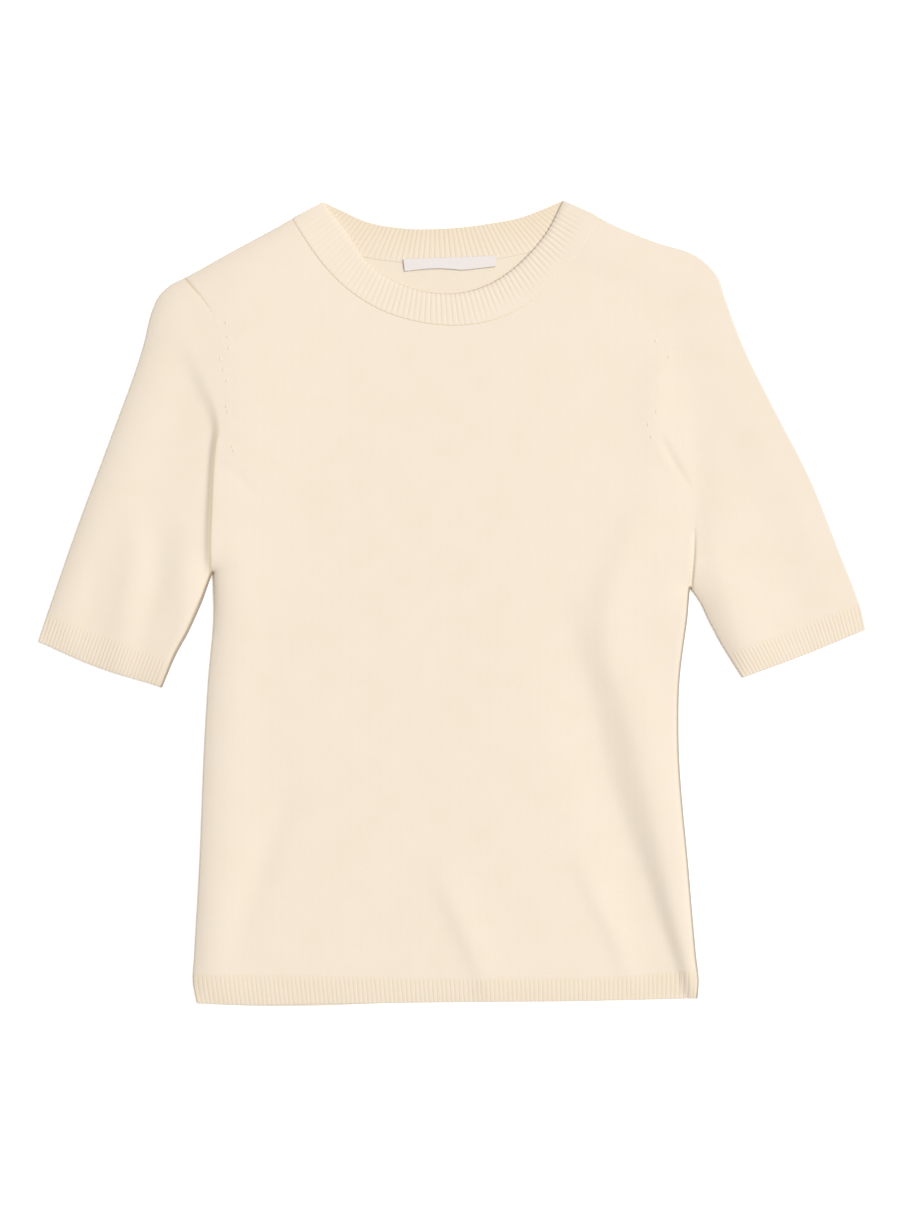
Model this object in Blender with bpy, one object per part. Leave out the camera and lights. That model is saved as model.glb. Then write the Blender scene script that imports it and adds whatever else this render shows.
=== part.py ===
"""A fine-knit crew-neck top with short set-in sleeves and ribbed bands, laid flat on its back.

+X runs to the viewer's right, +Y towards the neck and +Z up out of the front. The origin is on the surface that the
garment lies on, under the middle of its outline. "Right" and "left" in the pieces' names are the wearer's, so the
right sleeve is at -X.

All sizes are in millimetres. The tables use the garment's own axes: x from its centre line, y up from its hem.
Every piece is a cloth wall. Its outer face is worked out first: where it lies in plan, and how high it stands. Its
inner face is a wall's thickness further in. The lower layer lies flat, the upper one lies on it, and both turn into
each other, or meet at a seam, round the soft folded edges of the outline.
"""

import math
from collections import namedtuple

import bpy
import numpy as np

METRES = 0.001
MIDDLE_OF_OUTLINE = (4.4, 288.4)

# Cloth
WALL = 2.0
RIB_WALL = 2.4
LABEL_WALL = 1.0
SEAM_GAP = 0.3
LOFT = 0.6  # how far the upper layer stands off the lower one where nothing folds it

# Ribbed bands
HEM_DEPTH = 22.0
CUFF_DEPTH = 21.0
HEM_RIBS = 114
CUFF_RIBS = 36
COLLAR_FRONT_RIBS = 68
COLLAR_BACK_RIBS = 58
RIB_RELIEF = 0.35  # above and below the band's mean face
EDGE_DROP = 0.4  # how far a band's face slopes down to its free edge

# Folded edges: a quarter ellipse above, a tighter one below, and a soft ridge that dies away inwards
CREST = 6.7
CREST_CHANGE = 0.35
CREST_WAVES = (37.0, 53.0)
RADIUS_ABOVE = 7.0
RADIUS_BELOW = 3.5
RIDGE_REACH = 40.0
COLLAR_RISE = 0.4  # the neckband is thicker than the jersey, so its face stands this much higher
COLLAR_RIBS_FROM_FOLD = 9.0  # the back neckband's visible ribs start this far inside its folds

LAYER_TOP = 2 * WALL + SEAM_GAP

Steps = namedtuple("Steps", "side shoulder neck")
Point = namedtuple("Point", "x y")
Fold = namedtuple("Fold", "height width_left width_right path")
Half = namedtuple("Half", "side inner outer shoulder over_front over_back underarm armhole cuff_edge")
Edge = namedtuple("Edge", "path out")
Face = namedtuple("Face", "points normals")

# Where a wall is sampled: close together near a folded edge or a corner, and in even steps between
NEAR_EDGE = (1.3, 3.6, 9.0)
NEAR_CORNER = (3.6, 10.0)
FRONT_STEPS = Steps(side=11, shoulder=3, neck=18)
BACK_STEPS = Steps(side=4, shoulder=1, neck=10)
ARMHOLE_STEPS = 8
TUBE_STEPS = 8  # across a sleeve or its cuff
SLEEVE_SHARES = np.array([0.0, 0.12, 0.26, 0.4, 0.54, 0.67, 0.78, 0.87, 0.94, 0.98, 1.0])  # of its length, from the cuff
HEM_BACK_STEPS = 12
LABEL_STEPS = (8, 2)  # across and down
SPAN_STEPS = 12  # straight steps in each span of a smooth curve
SHOULDER_SHARE = 0.21  # of the hem seam's width, below each shoulder
SHARP_ANGLE = math.radians(50)

# The outline, anticlockwise from the hem's corner at the wearer's left
SIDE_LEFT = (
    Point(180.0, 3.2),
    Point(180.9, 13.7),
    Point(178.9, 34.6),
    Point(173.9, 92.2),
    Point(166.3, 193.0),
    Point(167.0, 231.1),
    Point(172.1, 272.2),
    Point(176.0, 298.8),
)
SLEEVE_LEFT_INNER = (
    Point(176.0, 298.8),
    Point(182.2, 290.2),
    Point(190.8, 272.9),
    Point(199.8, 256.3),
    Point(213.8, 234.0),
)
SLEEVE_LEFT_OUTER = (
    Point(302.4, 268.6),
    Point(300.6, 279.4),
    Point(296.3, 292.3),
    Point(285.8, 319.0),
    Point(262.8, 376.6),
    Point(233.3, 434.2),
    Point(212.4, 477.4),
    Point(200.9, 509.0),
    Point(196.0, 523.0),
    Point(182.2, 536.8),
)
SHOULDER_LEFT = (
    Point(182.2, 536.8),
    Point(149.8, 548.4),
    Point(111.6, 565.2),
)
NECK_FOLD_LEFT = (
    Point(111.6, 565.2),
    Point(98.4, 573.6),
    Point(83.6, 578.2),
)
NECK_FOLD_RIGHT = (
    Point(-87.8, 577.2),
    Point(-97.0, 573.4),
    Point(-110.9, 564.8),
)
SHOULDER_RIGHT = (
    Point(-110.9, 564.8),
    Point(-152.6, 541.9),
    Point(-188.6, 522.0),
)
SLEEVE_RIGHT_OUTER = (
    Point(-188.6, 522.0),
    Point(-198.0, 517.3),
    Point(-206.6, 509.0),
    Point(-212.0, 496.8),
    Point(-216.7, 477.4),
    Point(-241.9, 405.4),
    Point(-263.5, 347.8),
    Point(-286.2, 282.6),
    Point(-293.8, 260.3),
)
SLEEVE_RIGHT_INNER = (
    Point(-205.6, 227.5),
    Point(-195.5, 251.3),
    Point(-186.5, 267.8),
    Point(-176.4, 290.2),
    Point(-168.1, 309.6),
)
SIDE_RIGHT = (
    Point(-168.1, 309.6),
    Point(-167.3, 279.4),
    Point(-171.1, 232.6),
    Point(-173.5, 193.0),
    Point(-177.8, 92.2),
    Point(-181.1, 34.6),
    Point(-182.0, 13.7),
    Point(-179.3, -0.4),
)

# The bands' free edges, from -X to +X
HEM_EDGE = (
    Point(-179.3, -0.4),
    Point(-159.1, -1.4),
    Point(-92.2, -0.9),
    Point(2.9, 0.4),
    Point(89.3, 1.1),
    Point(180.0, 3.2),
)
CUFF_EDGE_RIGHT = (
    Point(-293.8, 260.3),
    Point(-253.4, 242.6),
    Point(-205.6, 227.5),
)
CUFF_EDGE_LEFT = (
    Point(213.8, 234.0),
    Point(258.0, 250.3),
    Point(302.4, 268.6),
)
NECK_EDGE_FRONT = (
    Point(-87.8, 577.2),
    Point(-72.7, 558.7),
    Point(-59.4, 538.6),
    Point(-49.0, 528.1),
    Point(-33.1, 518.8),
    Point(-10.1, 512.3),
    Point(11.5, 512.4),
    Point(30.2, 518.0),
    Point(46.1, 527.8),
    Point(60.1, 540.7),
    Point(71.6, 555.1),
    Point(83.6, 578.2),
)
NECK_EDGE_BACK = (
    Point(-87.8, 577.2),
    Point(-74.9, 571.3),
    Point(-57.6, 563.5),
    Point(-31.7, 558.7),
    Point(0.0, 558.5),
    Point(28.8, 561.6),
    Point(54.7, 566.6),
    Point(72.0, 573.1),
    Point(83.6, 578.2),
)

# Seams inside the outline. The hem's runs between the side seams, whose ends it takes.
HEM_SEAM = (
    Point(-105.1, 20.5),
    Point(-18.7, 18.7),
    Point(53.3, 18.7),
    Point(125.3, 19.8),
)
ARMHOLE_LEFT = (
    Point(176.0, 298.8),
    Point(178.6, 340.6),
    Point(176.4, 370.8),
    Point(169.2, 409.0),
    Point(166.3, 448.6),
    Point(168.5, 481.0),
    Point(174.2, 509.8),
    Point(182.2, 536.8),
)
ARMHOLE_RIGHT = (
    Point(-168.1, 309.6),
    Point(-167.8, 362.2),
    Point(-166.0, 391.7),
    Point(-162.4, 416.2),
    Point(-159.8, 448.6),
    Point(-161.3, 473.8),
    Point(-167.8, 495.4),
    Point(-188.6, 522.0),
)
NECK_SEAM_FRONT = (
    Point(-110.9, 564.8),
    Point(-101.5, 549.4),
    Point(-88.6, 531.5),
    Point(-70.6, 513.5),
    Point(-47.5, 499.0),
    Point(-18.7, 490.0),
    Point(8.6, 487.6),
    Point(37.2, 492.5),
    Point(61.7, 505.4),
    Point(82.8, 524.9),
    Point(98.6, 546.5),
    Point(111.6, 565.2),
)
NECK_SEAM_BACK = (
    Point(-110.9, 564.8),
    Point(-90.7, 547.2),
    Point(-59.0, 537.1),
    Point(-31.0, 533.1),
    Point(0.0, 532.1),
    Point(36.7, 535.7),
    Point(61.2, 540.7),
    Point(90.7, 550.8),
    Point(111.6, 565.2),
)

# The neck label lies over the back neck seam
LABEL_TOP = (Point(-30.8, 537.3), Point(2.0, 537.0), Point(36.1, 536.6))
LABEL_FOOT = (Point(-29.7, 527.1), Point(4.0, 528.4), Point(35.9, 530.7))
LABEL_TOP_HEIGHT = 3.2  # of its underside, over the neckband
LABEL_FOOT_HEIGHT = 2.5  # of its underside, over the jersey
LABEL_CURL = 0.5
LABEL_WAVES = 1.5

# Ridges in the upper layer, and troughs where the height is negative. Each width is that side's, looking along the
# path.
FOLD_FULLNESS = 0.7  # below 1 a fold rises faster from its ends
FOLDS = (
    Fold(  # the long fold that runs down to the hem's corner at the wearer's left
        height=3.2,
        width_left=15.0,
        width_right=26.0,
        path=(Point(182.0, -40.0), Point(172.0, 48.0), Point(160.0, 96.0), Point(146.0, 160.0), Point(113.0, 266.0)),
    ),
    Fold(  # a fainter one inside it
        height=1.2,
        width_left=16.0,
        width_right=20.0,
        path=(Point(134.0, 40.0), Point(117.0, 81.0), Point(95.0, 146.0), Point(70.0, 240.0)),
    ),
    Fold(  # a short one over the hem, near the middle
        height=1.0,
        width_left=8.0,
        width_right=13.0,
        path=(Point(34.0, 5.0), Point(21.0, 45.0), Point(-4.0, 98.0)),
    ),
    Fold(  # a faint one near the right side seam
        height=0.8,
        width_left=16.0,
        width_right=12.0,
        path=(Point(-150.0, 50.0), Point(-134.0, 95.0), Point(-116.0, 140.0)),
    ),
    Fold(  # the right sleeve's long ridge above its cuff
        height=1.8,
        width_left=11.0,
        width_right=11.0,
        path=(Point(-208.0, 235.0), Point(-213.0, 290.0), Point(-216.0, 365.0)),
    ),
    Fold(  # and the smaller one beside it
        height=1.1,
        width_left=10.0,
        width_right=12.0,
        path=(Point(-262.0, 255.0), Point(-258.0, 300.0), Point(-248.0, 345.0)),
    ),
    Fold(  # the right sleeve's cloth pushed up beside the armhole
        height=2.2,
        width_left=14.0,
        width_right=9.0,
        path=(Point(-186.0, 300.0), Point(-184.0, 350.0), Point(-185.0, 400.0), Point(-200.0, 452.0)),
    ),
    Fold(  # the body's, on the armhole's other side
        height=1.6,
        width_left=9.0,
        width_right=17.0,
        path=(Point(-152.0, 285.0), Point(-152.0, 380.0), Point(-146.0, 430.0)),
    ),
    Fold(  # the trough that leaves the right armhole across the sleeve's head
        height=-0.6,
        width_left=6.0,
        width_right=6.0,
        path=(Point(-167.0, 395.0), Point(-171.0, 430.0), Point(-182.0, 451.0), Point(-204.0, 480.0)),
    ),
    Fold(  # the left sleeve's cloth pushed up beside the armhole
        height=1.8,
        width_left=9.0,
        width_right=13.0,
        path=(Point(190.0, 292.0), Point(189.0, 340.0), Point(190.0, 380.0), Point(196.0, 425.0)),
    ),
    Fold(  # the body's, on that armhole's other side
        height=1.3,
        width_left=15.0,
        width_right=8.0,
        path=(Point(164.0, 290.0), Point(164.0, 345.0), Point(156.0, 385.0), Point(146.0, 420.0)),
    ),
    Fold(  # the left sleeve's ridge above its cuff
        height=1.4,
        width_left=12.0,
        width_right=12.0,
        path=(Point(250.0, 245.0), Point(246.0, 300.0), Point(232.0, 360.0)),
    ),
)

YARN_COLOUR = (0.84, 0.73, 0.57, 1.0)
RIB_COLOUR = (0.82, 0.71, 0.54, 1.0)
SATIN_COLOUR = (0.86, 0.85, 0.82, 1.0)
WOOL_ROUGHNESS = 0.9
SATIN_ROUGHNESS = 0.45


# Curves in plan


def run_of(path):
    """How far along the path each of its points is."""
    return np.concatenate([[0.0], np.cumsum(np.linalg.norm(np.diff(path, axis=0), axis=1))])


def smooth(points):
    """A fine polyline through the points: cubic spans, with the slope at each point that its neighbours give."""
    known = np.array(points, float)
    run = run_of(known)
    slope = np.gradient(known, run, axis=0)
    span = np.repeat(np.arange(len(known) - 1), SPAN_STEPS)
    share = np.tile(np.arange(SPAN_STEPS) / SPAN_STEPS, len(known) - 1)[:, None]
    length = (run[span + 1] - run[span])[:, None]
    curve = (
        (2 * share**3 - 3 * share**2 + 1) * known[span]
        + (share**3 - 2 * share**2 + share) * length * slope[span]
        + (3 * share**2 - 2 * share**3) * known[span + 1]
        + (share**3 - share**2) * length * slope[span + 1]
    )
    return np.vstack([curve, known[-1]])


def chain(*tables):
    """One smooth curve through tables that share their ends, and each table's own stretch of it."""
    whole = smooth(tables[0] + tuple(point for table in tables[1:] for point in table[1:]))
    ends = SPAN_STEPS * np.cumsum([0] + [len(table) - 1 for table in tables])
    return whole, [whole[first : last + 1] for first, last in zip(ends, ends[1:])]


def upward(path):
    """The path from its lower end."""
    return path if path[0, 1] < path[-1, 1] else path[::-1]


def at(path, distance):
    """The points that far along the path."""
    run = run_of(path)
    return np.stack([np.interp(distance, run, path[:, axis]) for axis in (0, 1)], axis=-1)


def left_of(path, distance):
    """The way straight off the path to its left, that far along it."""
    run = run_of(path)
    heading = np.gradient(path, run, axis=0)
    left = np.stack([-np.interp(distance, run, heading[:, 1]), np.interp(distance, run, heading[:, 0])], axis=-1)
    return left / np.linalg.norm(left, axis=-1, keepdims=True)


def beside(path, distance, offset):
    """The points that far along the path, moved to its left by the offset."""
    return at(path, distance) + offset * left_of(path, distance)


def stations(total, steps, start=(), end=()):
    """Distances from 0 to total: those given near each end, and even steps between them."""
    first = start[-1] if start else 0.0
    last = total - end[-1] if end else total
    even = np.linspace(first, last, steps + 1)
    return np.unique(np.concatenate([[0.0], start, even, total - np.array(end), [total]]))


def net(foot, head, near, far, across, up):
    """Points that fill four border curves: foot and head run across, near and far run up between them."""
    across = across[:, None, None]
    up = up[None, :, None]
    between = (1 - up) * foot[:, None] + up * head[:, None] + (1 - across) * near[None] + across * far[None]
    corners = (1 - across) * ((1 - up) * foot[0] + up * head[0]) + across * ((1 - up) * foot[-1] + up * head[-1])
    return between - corners


# Heights


def nearest(points, path):
    """For each point, its distance from the path, and how far along the path the nearest place on it is."""
    step = np.diff(path, axis=0)
    offset = points[:, None] - path[None, :-1]
    share = np.clip((offset * step).sum(axis=-1) / (step**2).sum(axis=-1), 0.0, 1.0)
    foot = path[None, :-1] + share[..., None] * step
    gap = np.linalg.norm(points[:, None] - foot, axis=-1)
    best = gap.argmin(axis=1)
    rows = np.arange(len(points))
    run = run_of(path)
    return gap[rows, best], run[best] + share[rows, best] * (run[best + 1] - run[best])


def ridge(points, fold):
    """The fold's height over each point: a bell across its path, which rises and falls along it."""
    path = smooth(fold.path)
    gap, along = nearest(points, path)
    on_left = ((points - at(path, along)) * left_of(path, along)).sum(axis=-1) > 0
    width = np.where(on_left, fold.width_left, fold.width_right)
    taper = np.sin(math.pi * along / run_of(path)[-1]) ** FOLD_FULLNESS
    return fold.height * taper * np.exp(-((gap / width) ** 2))


def folded(path, *seams):
    """A folded edge with its outward ways. Where a seam starts on it, the way out is straight back along the seam."""
    out = -left_of(path, run_of(path))
    for seam in seams:
        start = np.linalg.norm(path - seam[0], axis=1).argmin()
        out[start] = (seam[0] - seam[1]) / np.linalg.norm(seam[0] - seam[1])
    return Edge(path, out)


def crest_at(points):
    """How high the folded edge stands there: a soft edge is never quite even."""
    x, y = points.T
    return CREST + CREST_CHANGE * (np.sin(x / CREST_WAVES[0]) + np.cos(y / CREST_WAVES[1]))


def edge_at(points, edges):
    """Each point's depth inside the nearest folded edge, and the way out to it."""
    gap = np.full(len(points), np.inf)
    out = np.zeros((len(points), 2))
    for edge in edges:
        found, along = nearest(points, edge.path)
        on_edge = (found < 2 * SEAM_GAP)[:, None]
        run = run_of(edge.path)
        edge_out = np.stack([np.interp(along, run, edge.out[:, axis]) for axis in (0, 1)], axis=-1)
        way = np.where(on_edge, edge_out, at(edge.path, along) - points)
        closer = found < gap
        gap = np.where(closer, found, gap)
        out = np.where(closer[:, None], way, out)
    out /= np.linalg.norm(out, axis=-1, keepdims=True)
    return np.maximum(gap - SEAM_GAP, 0.0), out


def lift_at(points, depth):
    """How far the upper layer stands off the lower one. Ridges that meet merge, and don't add up."""
    inwards = np.clip((depth - RADIUS_ABOVE) / (RIDGE_REACH - RADIUS_ABOVE), 0.0, 1.0)
    edge_ridge = (crest_at(points) - LAYER_TOP - LOFT) * (1 - inwards**2 * (3 - 2 * inwards))
    heights = [ridge(points, fold) for fold in FOLDS]
    raised = sum(np.maximum(height, 0.0) ** 3 for height in heights)
    sunk = sum(np.minimum(height, 0.0) for height in heights)
    return np.maximum(LOFT + np.cbrt(edge_ridge**3 + raised) + sunk, 0.0)


def turned(plan, height, out, angle, radius, rise):
    """A face round a folded edge: a quarter ellipse that starts upright at the edge, and its outward normals."""
    normals = np.column_stack([out * (np.cos(angle) / radius)[:, None], np.sin(angle) / rise])
    normals /= np.linalg.norm(normals, axis=-1, keepdims=True)
    return np.column_stack([plan, height]), normals


def upper_face(plan, edges, parting=0.0, thicker=0.0):
    """The upper layer's outer face over a net in plan."""
    points = plan.reshape(-1, 2)
    depth, out = edge_at(points, edges)
    angle = np.arccos(1 - np.minimum(depth / RADIUS_ABOVE, 1.0))
    start = crest_at(points) / 2 + parting / 2
    rise = LAYER_TOP + lift_at(points, depth) + thicker - start
    points, normals = turned(points, start + rise * np.sin(angle), out, angle, RADIUS_ABOVE, rise)
    return Face(points.reshape(*plan.shape[:2], 3), normals.reshape(*plan.shape[:2], 3))


def lower_face(plan, edges, parting=0.0):
    """The lower layer's outer face, which is flat where it rests."""
    points = plan.reshape(-1, 2)
    depth, out = edge_at(points, edges)
    angle = np.arccos(1 - np.minimum(depth / RADIUS_BELOW, 1.0))
    start = crest_at(points) / 2 - parting / 2
    points, normals = turned(points, start * (1 - np.sin(angle)), out, angle, RADIUS_BELOW, -start)
    return Face(points.reshape(*plan.shape[:2], 3), normals.reshape(*plan.shape[:2], 3))


def round_the_ring(upper, lower):
    """One face right round a flattened tube: along the upper layer and back along the lower one."""
    return Face(*(np.concatenate([above, below[-2:0:-1]]) for above, below in zip(upper, lower)))


# Solids


def material(name, colour, roughness):
    """A plain material in the piece's own colour."""
    made = bpy.data.materials.new(name)
    made.use_nodes = True
    shader = made.node_tree.nodes["Principled BSDF"]
    shader.inputs["Base Color"].default_value = colour
    shader.inputs["Roughness"].default_value = roughness
    shader.inputs["Metallic"].default_value = 0.0
    made.diffuse_color = colour
    return made


def quads(first, second):
    """Quads between two lines of vertex numbers."""
    return np.stack([first[:-1], first[1:], second[1:], second[:-1]], axis=-1)


def wall_faces(columns, rows, ring):
    """The faces of a wall between two nets of columns by rows vertices, the outer net's numbered first."""
    outer = np.arange(columns * rows).reshape(columns, rows)
    inner = outer + columns * rows
    round_columns = np.append(np.arange(columns), 0) if ring else np.arange(columns)
    faces = [quads(outer[round_columns, row], outer[round_columns, row + 1]) for row in range(rows - 1)]
    faces += [quads(inner[round_columns, row], inner[round_columns, row + 1])[:, ::-1] for row in range(rows - 1)]
    if ring:
        borders = [np.stack([net[round_columns, 0] for net in (outer, inner)])]
        borders.append(np.stack([net[round_columns[::-1], -1] for net in (outer, inner)]))
    else:
        borders = [
            np.stack(
                [np.concatenate([net[:, 0], net[-1, 1:], net[-2::-1, -1], net[0, -2::-1]]) for net in (outer, inner)]
            )
        ]
    faces += [quads(outer_line[::-1], inner_line[::-1]) for outer_line, inner_line in borders]
    return np.concatenate(faces)


def signed_volume(points, faces):
    """Six times the volume that the quads enclose, negative if they face inwards."""
    corners = points[faces]
    halves = (corners[:, [0, 1, 2]], corners[:, [0, 2, 3]])
    return sum(np.linalg.det(half).sum() for half in halves)


def wall(name, outer, inner, surface, ring=False):
    """A closed cloth wall between its outer and its inner face, as one object."""
    points = np.concatenate([outer.reshape(-1, 3), inner.reshape(-1, 3)])
    faces = wall_faces(outer.shape[0], outer.shape[1], ring)
    if signed_volume(points, faces) < 0:
        faces = faces[:, ::-1]
    points = (points - np.array([*MIDDLE_OF_OUTLINE, 0.0])) * METRES
    mesh = bpy.data.meshes.new(name)
    mesh.from_pydata(points.tolist(), [], faces.tolist())
    mesh.shade_smooth()
    mesh.set_sharp_from_angle(angle=SHARP_ANGLE)
    mesh.materials.append(surface)
    made = bpy.data.objects.new(name, mesh)
    collection.objects.link(made)
    return made


def under(face, thickness):
    """The inner face of a wall of that thickness."""
    return face.points - thickness * face.normals


def rib_wave(count):
    """Crests and hollows in turn, two points to a rib, for that many columns."""
    return 1.0 - 2.0 * (np.arange(count) % 2)


def ribbed(face, wave):
    """The outer face with its ribs raised, a crest and a hollow in turn across its columns."""
    return face.points + RIB_RELIEF * wave[:, None, None] * face.normals


# The garment's pieces


def body_net(right, left, hem_seam, neck_seam, steps):
    """A body panel in plan, from its hem seam up to its shoulders and neck seam. It returns the net and its head."""
    near, far = ([], [])
    for half, border, inwards in ((right, near, -1), (left, far, 1)):
        side, armhole = upward(half.side), upward(half.armhole)
        side_run = HEM_DEPTH + stations(run_of(side)[-1] - HEM_DEPTH, steps.side, end=NEAR_CORNER)
        border.append(at(side, side_run[:-1]))
        border.append(beside(armhole, armhole_stations(armhole), inwards * SEAM_GAP / 2))
    near, far = np.vstack(near), np.vstack(far)

    shoulders = [upward(half.shoulder) for half in (right, left)]
    shoulder_run = [stations(run_of(path)[-1], steps.shoulder, start=NEAR_EDGE) for path in shoulders]
    neck_run = stations(run_of(neck_seam)[-1], steps.neck, start=NEAR_EDGE[:2], end=NEAR_EDGE[:2])
    head = np.vstack(
        [
            at(shoulders[0], shoulder_run[0][:-1]),
            beside(neck_seam, neck_run, -SEAM_GAP / 2),
            at(shoulders[1], shoulder_run[1][:-1])[::-1],
        ]
    )
    width = run_of(hem_seam)[-1]
    outer_part = stations(SHOULDER_SHARE * width, steps.shoulder, start=NEAR_EDGE)
    middle_part = np.linspace(SHOULDER_SHARE * width, (1 - SHOULDER_SHARE) * width, len(neck_run))
    hem_run = np.concatenate([outer_part[:-1], middle_part, width - outer_part[-2::-1]])
    foot = beside(hem_seam, hem_run, SEAM_GAP / 2)
    foot[0], foot[-1] = near[0], far[0]
    head[0], head[-1] = near[-1], far[-1]
    up = np.mean([(path[:, 1] - path[0, 1]) / (path[-1, 1] - path[0, 1]) for path in (near, far)], axis=0)
    seam = slice(len(outer_part) - 1, len(outer_part) - 1 + len(neck_run))
    return net(foot, head, near, far, hem_run / width, up), seam


def armhole_stations(armhole):
    """Where the panels and the sleeve are sampled along the armhole that they share, from the underarm up."""
    return stations(run_of(armhole)[-1], ARMHOLE_STEPS, start=NEAR_EDGE, end=NEAR_EDGE)


def build_body(right, left, hem_seam, neck_front, neck_back, surface):
    """The front and back panels. It returns their neck seams, as sampled, for the neckband to follow."""
    edges = [right.underarm, right.over_front, left.underarm, left.over_front]
    seams = []
    front, seam = body_net(right, left, hem_seam, neck_front, FRONT_STEPS)
    seams.append(front[seam, -1])
    face = upper_face(front, edges, parting=SEAM_GAP)
    wall("body_front", face.points, under(face, WALL), surface)
    back, seam = body_net(right, left, hem_seam, neck_back, BACK_STEPS)
    seams.append(back[seam, -1])
    edges = [right.underarm, right.over_back, left.underarm, left.over_back]
    face = lower_face(back, edges, parting=SEAM_GAP)
    wall("body_back", face.points, under(face, WALL), surface)
    return seams


def sleeve_net(half, inwards):
    """A sleeve's layer in plan: from its outer edge across to the underarm one, and from the cuff up to the armhole."""
    armhole, outer, inner = upward(half.armhole), upward(half.outer), upward(half.inner)
    seam = cuff_seam(half)
    armhole_run = armhole_stations(armhole)
    head = beside(armhole, armhole_run, -inwards * SEAM_GAP / 2)[::-1]
    across = stations(run_of(seam)[-1], TUBE_STEPS, start=NEAR_EDGE, end=NEAR_EDGE)
    foot = beside(seam, across, -inwards * SEAM_GAP / 2)
    near, far = (at(path, CUFF_DEPTH + SLEEVE_SHARES * (run_of(path)[-1] - CUFF_DEPTH)) for path in (outer, inner))
    near[0], near[-1], far[0], far[-1] = foot[0], head[0], foot[-1], head[-1]
    return net(foot, head, near, far, across / across[-1], SLEEVE_SHARES)


def cuff_seam(half):
    """The straight seam between sleeve and cuff, from the outer edge to the underarm one."""
    return np.stack([at(upward(path), CUFF_DEPTH) for path in (half.outer, half.inner)])


def build_sleeve(name, half, inwards, surface):
    """A sleeve, one flattened tube."""
    plan = sleeve_net(half, inwards)
    edges = [half.over_front, half.underarm]
    face = round_the_ring(upper_face(plan, edges), lower_face(plan, edges))
    wall(name, face.points, under(face, WALL), surface, ring=True)


def band_net(seam, free_edge, across):
    """A band in plan: straight across from its seam to its free edge, at those shares of its width."""
    return np.stack([at(path, across * run_of(path)[-1]) for path in (seam, free_edge)], axis=1)


def build_hem(right, left, hem_seam, surface):
    """The hem's ribbed band, on the front and, plain where it rests, on the back."""
    edges = [right.underarm, left.underarm]
    seam = beside(hem_seam, run_of(hem_seam), -SEAM_GAP / 2)
    free_edge = smooth(HEM_EDGE)

    across = np.linspace(0.0, 1.0, 2 * HEM_RIBS + 1)
    face = upper_face(band_net(seam, free_edge, across), edges, parting=SEAM_GAP)
    outer = ribbed(face, rib_wave(len(across)))
    outer[:, -1, 2] -= EDGE_DROP * face.normals[:, -1, 2]
    wall("hem_rib_front", outer, under(face, WALL), surface)

    width = run_of(hem_seam)[-1]
    across = stations(width, HEM_BACK_STEPS, start=NEAR_EDGE, end=NEAR_EDGE) / width
    face = lower_face(band_net(seam, free_edge, across), edges, parting=SEAM_GAP)
    wall("hem_rib_back", face.points, under(face, WALL), surface)


def build_cuff(name, half, inwards, surface):
    """A sleeve's ribbed band, one flattened ring. Its ribs are raised above, and it rests on a plain underside."""
    edges = [half.over_front, half.underarm]
    seam = cuff_seam(half)
    width = run_of(seam)[-1]
    seam = beside(seam, (0.0, width), inwards * SEAM_GAP / 2)
    free_edge = half.cuff_edge if inwards < 0 else half.cuff_edge[::-1]
    across = np.linspace(0.0, 1.0, 2 * CUFF_RIBS + 1)
    upper = upper_face(band_net(seam, free_edge, across), edges)
    below = stations(width, TUBE_STEPS, start=NEAR_EDGE, end=NEAR_EDGE) / width
    face = round_the_ring(upper, lower_face(band_net(seam, free_edge, below), edges))
    on_top = np.arange(len(face.points)) < len(across)
    outer = ribbed(face, rib_wave(len(face.points)) * on_top)
    outer[on_top, -1, 2] -= EDGE_DROP * face.normals[on_top, -1, 2]
    wall(name, outer, under(face, WALL), surface, ring=True)


def build_collar(seams, right, left, surface):
    """The neckband: one ring, whose front lies over its back and folds into it at both shoulders."""
    edges = [right.over_back, left.over_back]
    seams = [beside(seam, run_of(seam), SEAM_GAP) for seam in seams]
    front = band_net(seams[0], smooth(NECK_EDGE_FRONT), np.linspace(0.0, 1.0, 2 * COLLAR_FRONT_RIBS + 1))
    back = band_net(seams[1], smooth(NECK_EDGE_BACK), np.linspace(0.0, 1.0, 2 * COLLAR_BACK_RIBS + 1))
    back[0], back[-1] = front[0], front[-1]
    face = round_the_ring(upper_face(front, edges, thicker=COLLAR_RISE), lower_face(back, edges))
    wave = rib_wave(len(face.points))
    in_front = np.arange(len(face.points)) < len(front)
    outer = ribbed(face, wave * in_front)
    outer[in_front, -1, 2] -= EDGE_DROP
    inner = under(face, RIB_WALL)
    depth, _ = edge_at(face.points[:, 1, :2], edges)
    seen_inside = ~in_front & (depth > COLLAR_RIBS_FROM_FOLD)
    inner[..., 2] += (RIB_RELIEF * wave * seen_inside)[:, None]
    wall("collar", outer, inner, surface, ring=True)


def build_label(surface):
    """The woven label: a thin strip that lies over the back neck seam and curls a little at its foot."""
    across, down = (np.linspace(0.0, 1.0, steps + 1) for steps in LABEL_STEPS)
    head, foot = (at(path, across * run_of(path)[-1]) for path in (smooth(LABEL_TOP), smooth(LABEL_FOOT)))
    plan = (1 - down[None, :, None]) * head[:, None] + down[None, :, None] * foot[:, None]
    curl = LABEL_CURL * (1 - np.cos(2 * math.pi * LABEL_WAVES * across)) / 2
    height = LABEL_TOP_HEIGHT + (LABEL_FOOT_HEIGHT - LABEL_TOP_HEIGHT) * down[None] + curl[:, None] * down[None] ** 2
    inner = np.concatenate([plan, height[..., None]], axis=-1)
    wall("neck_label", inner + (0.0, 0.0, LABEL_WALL), inner, surface)


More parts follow.
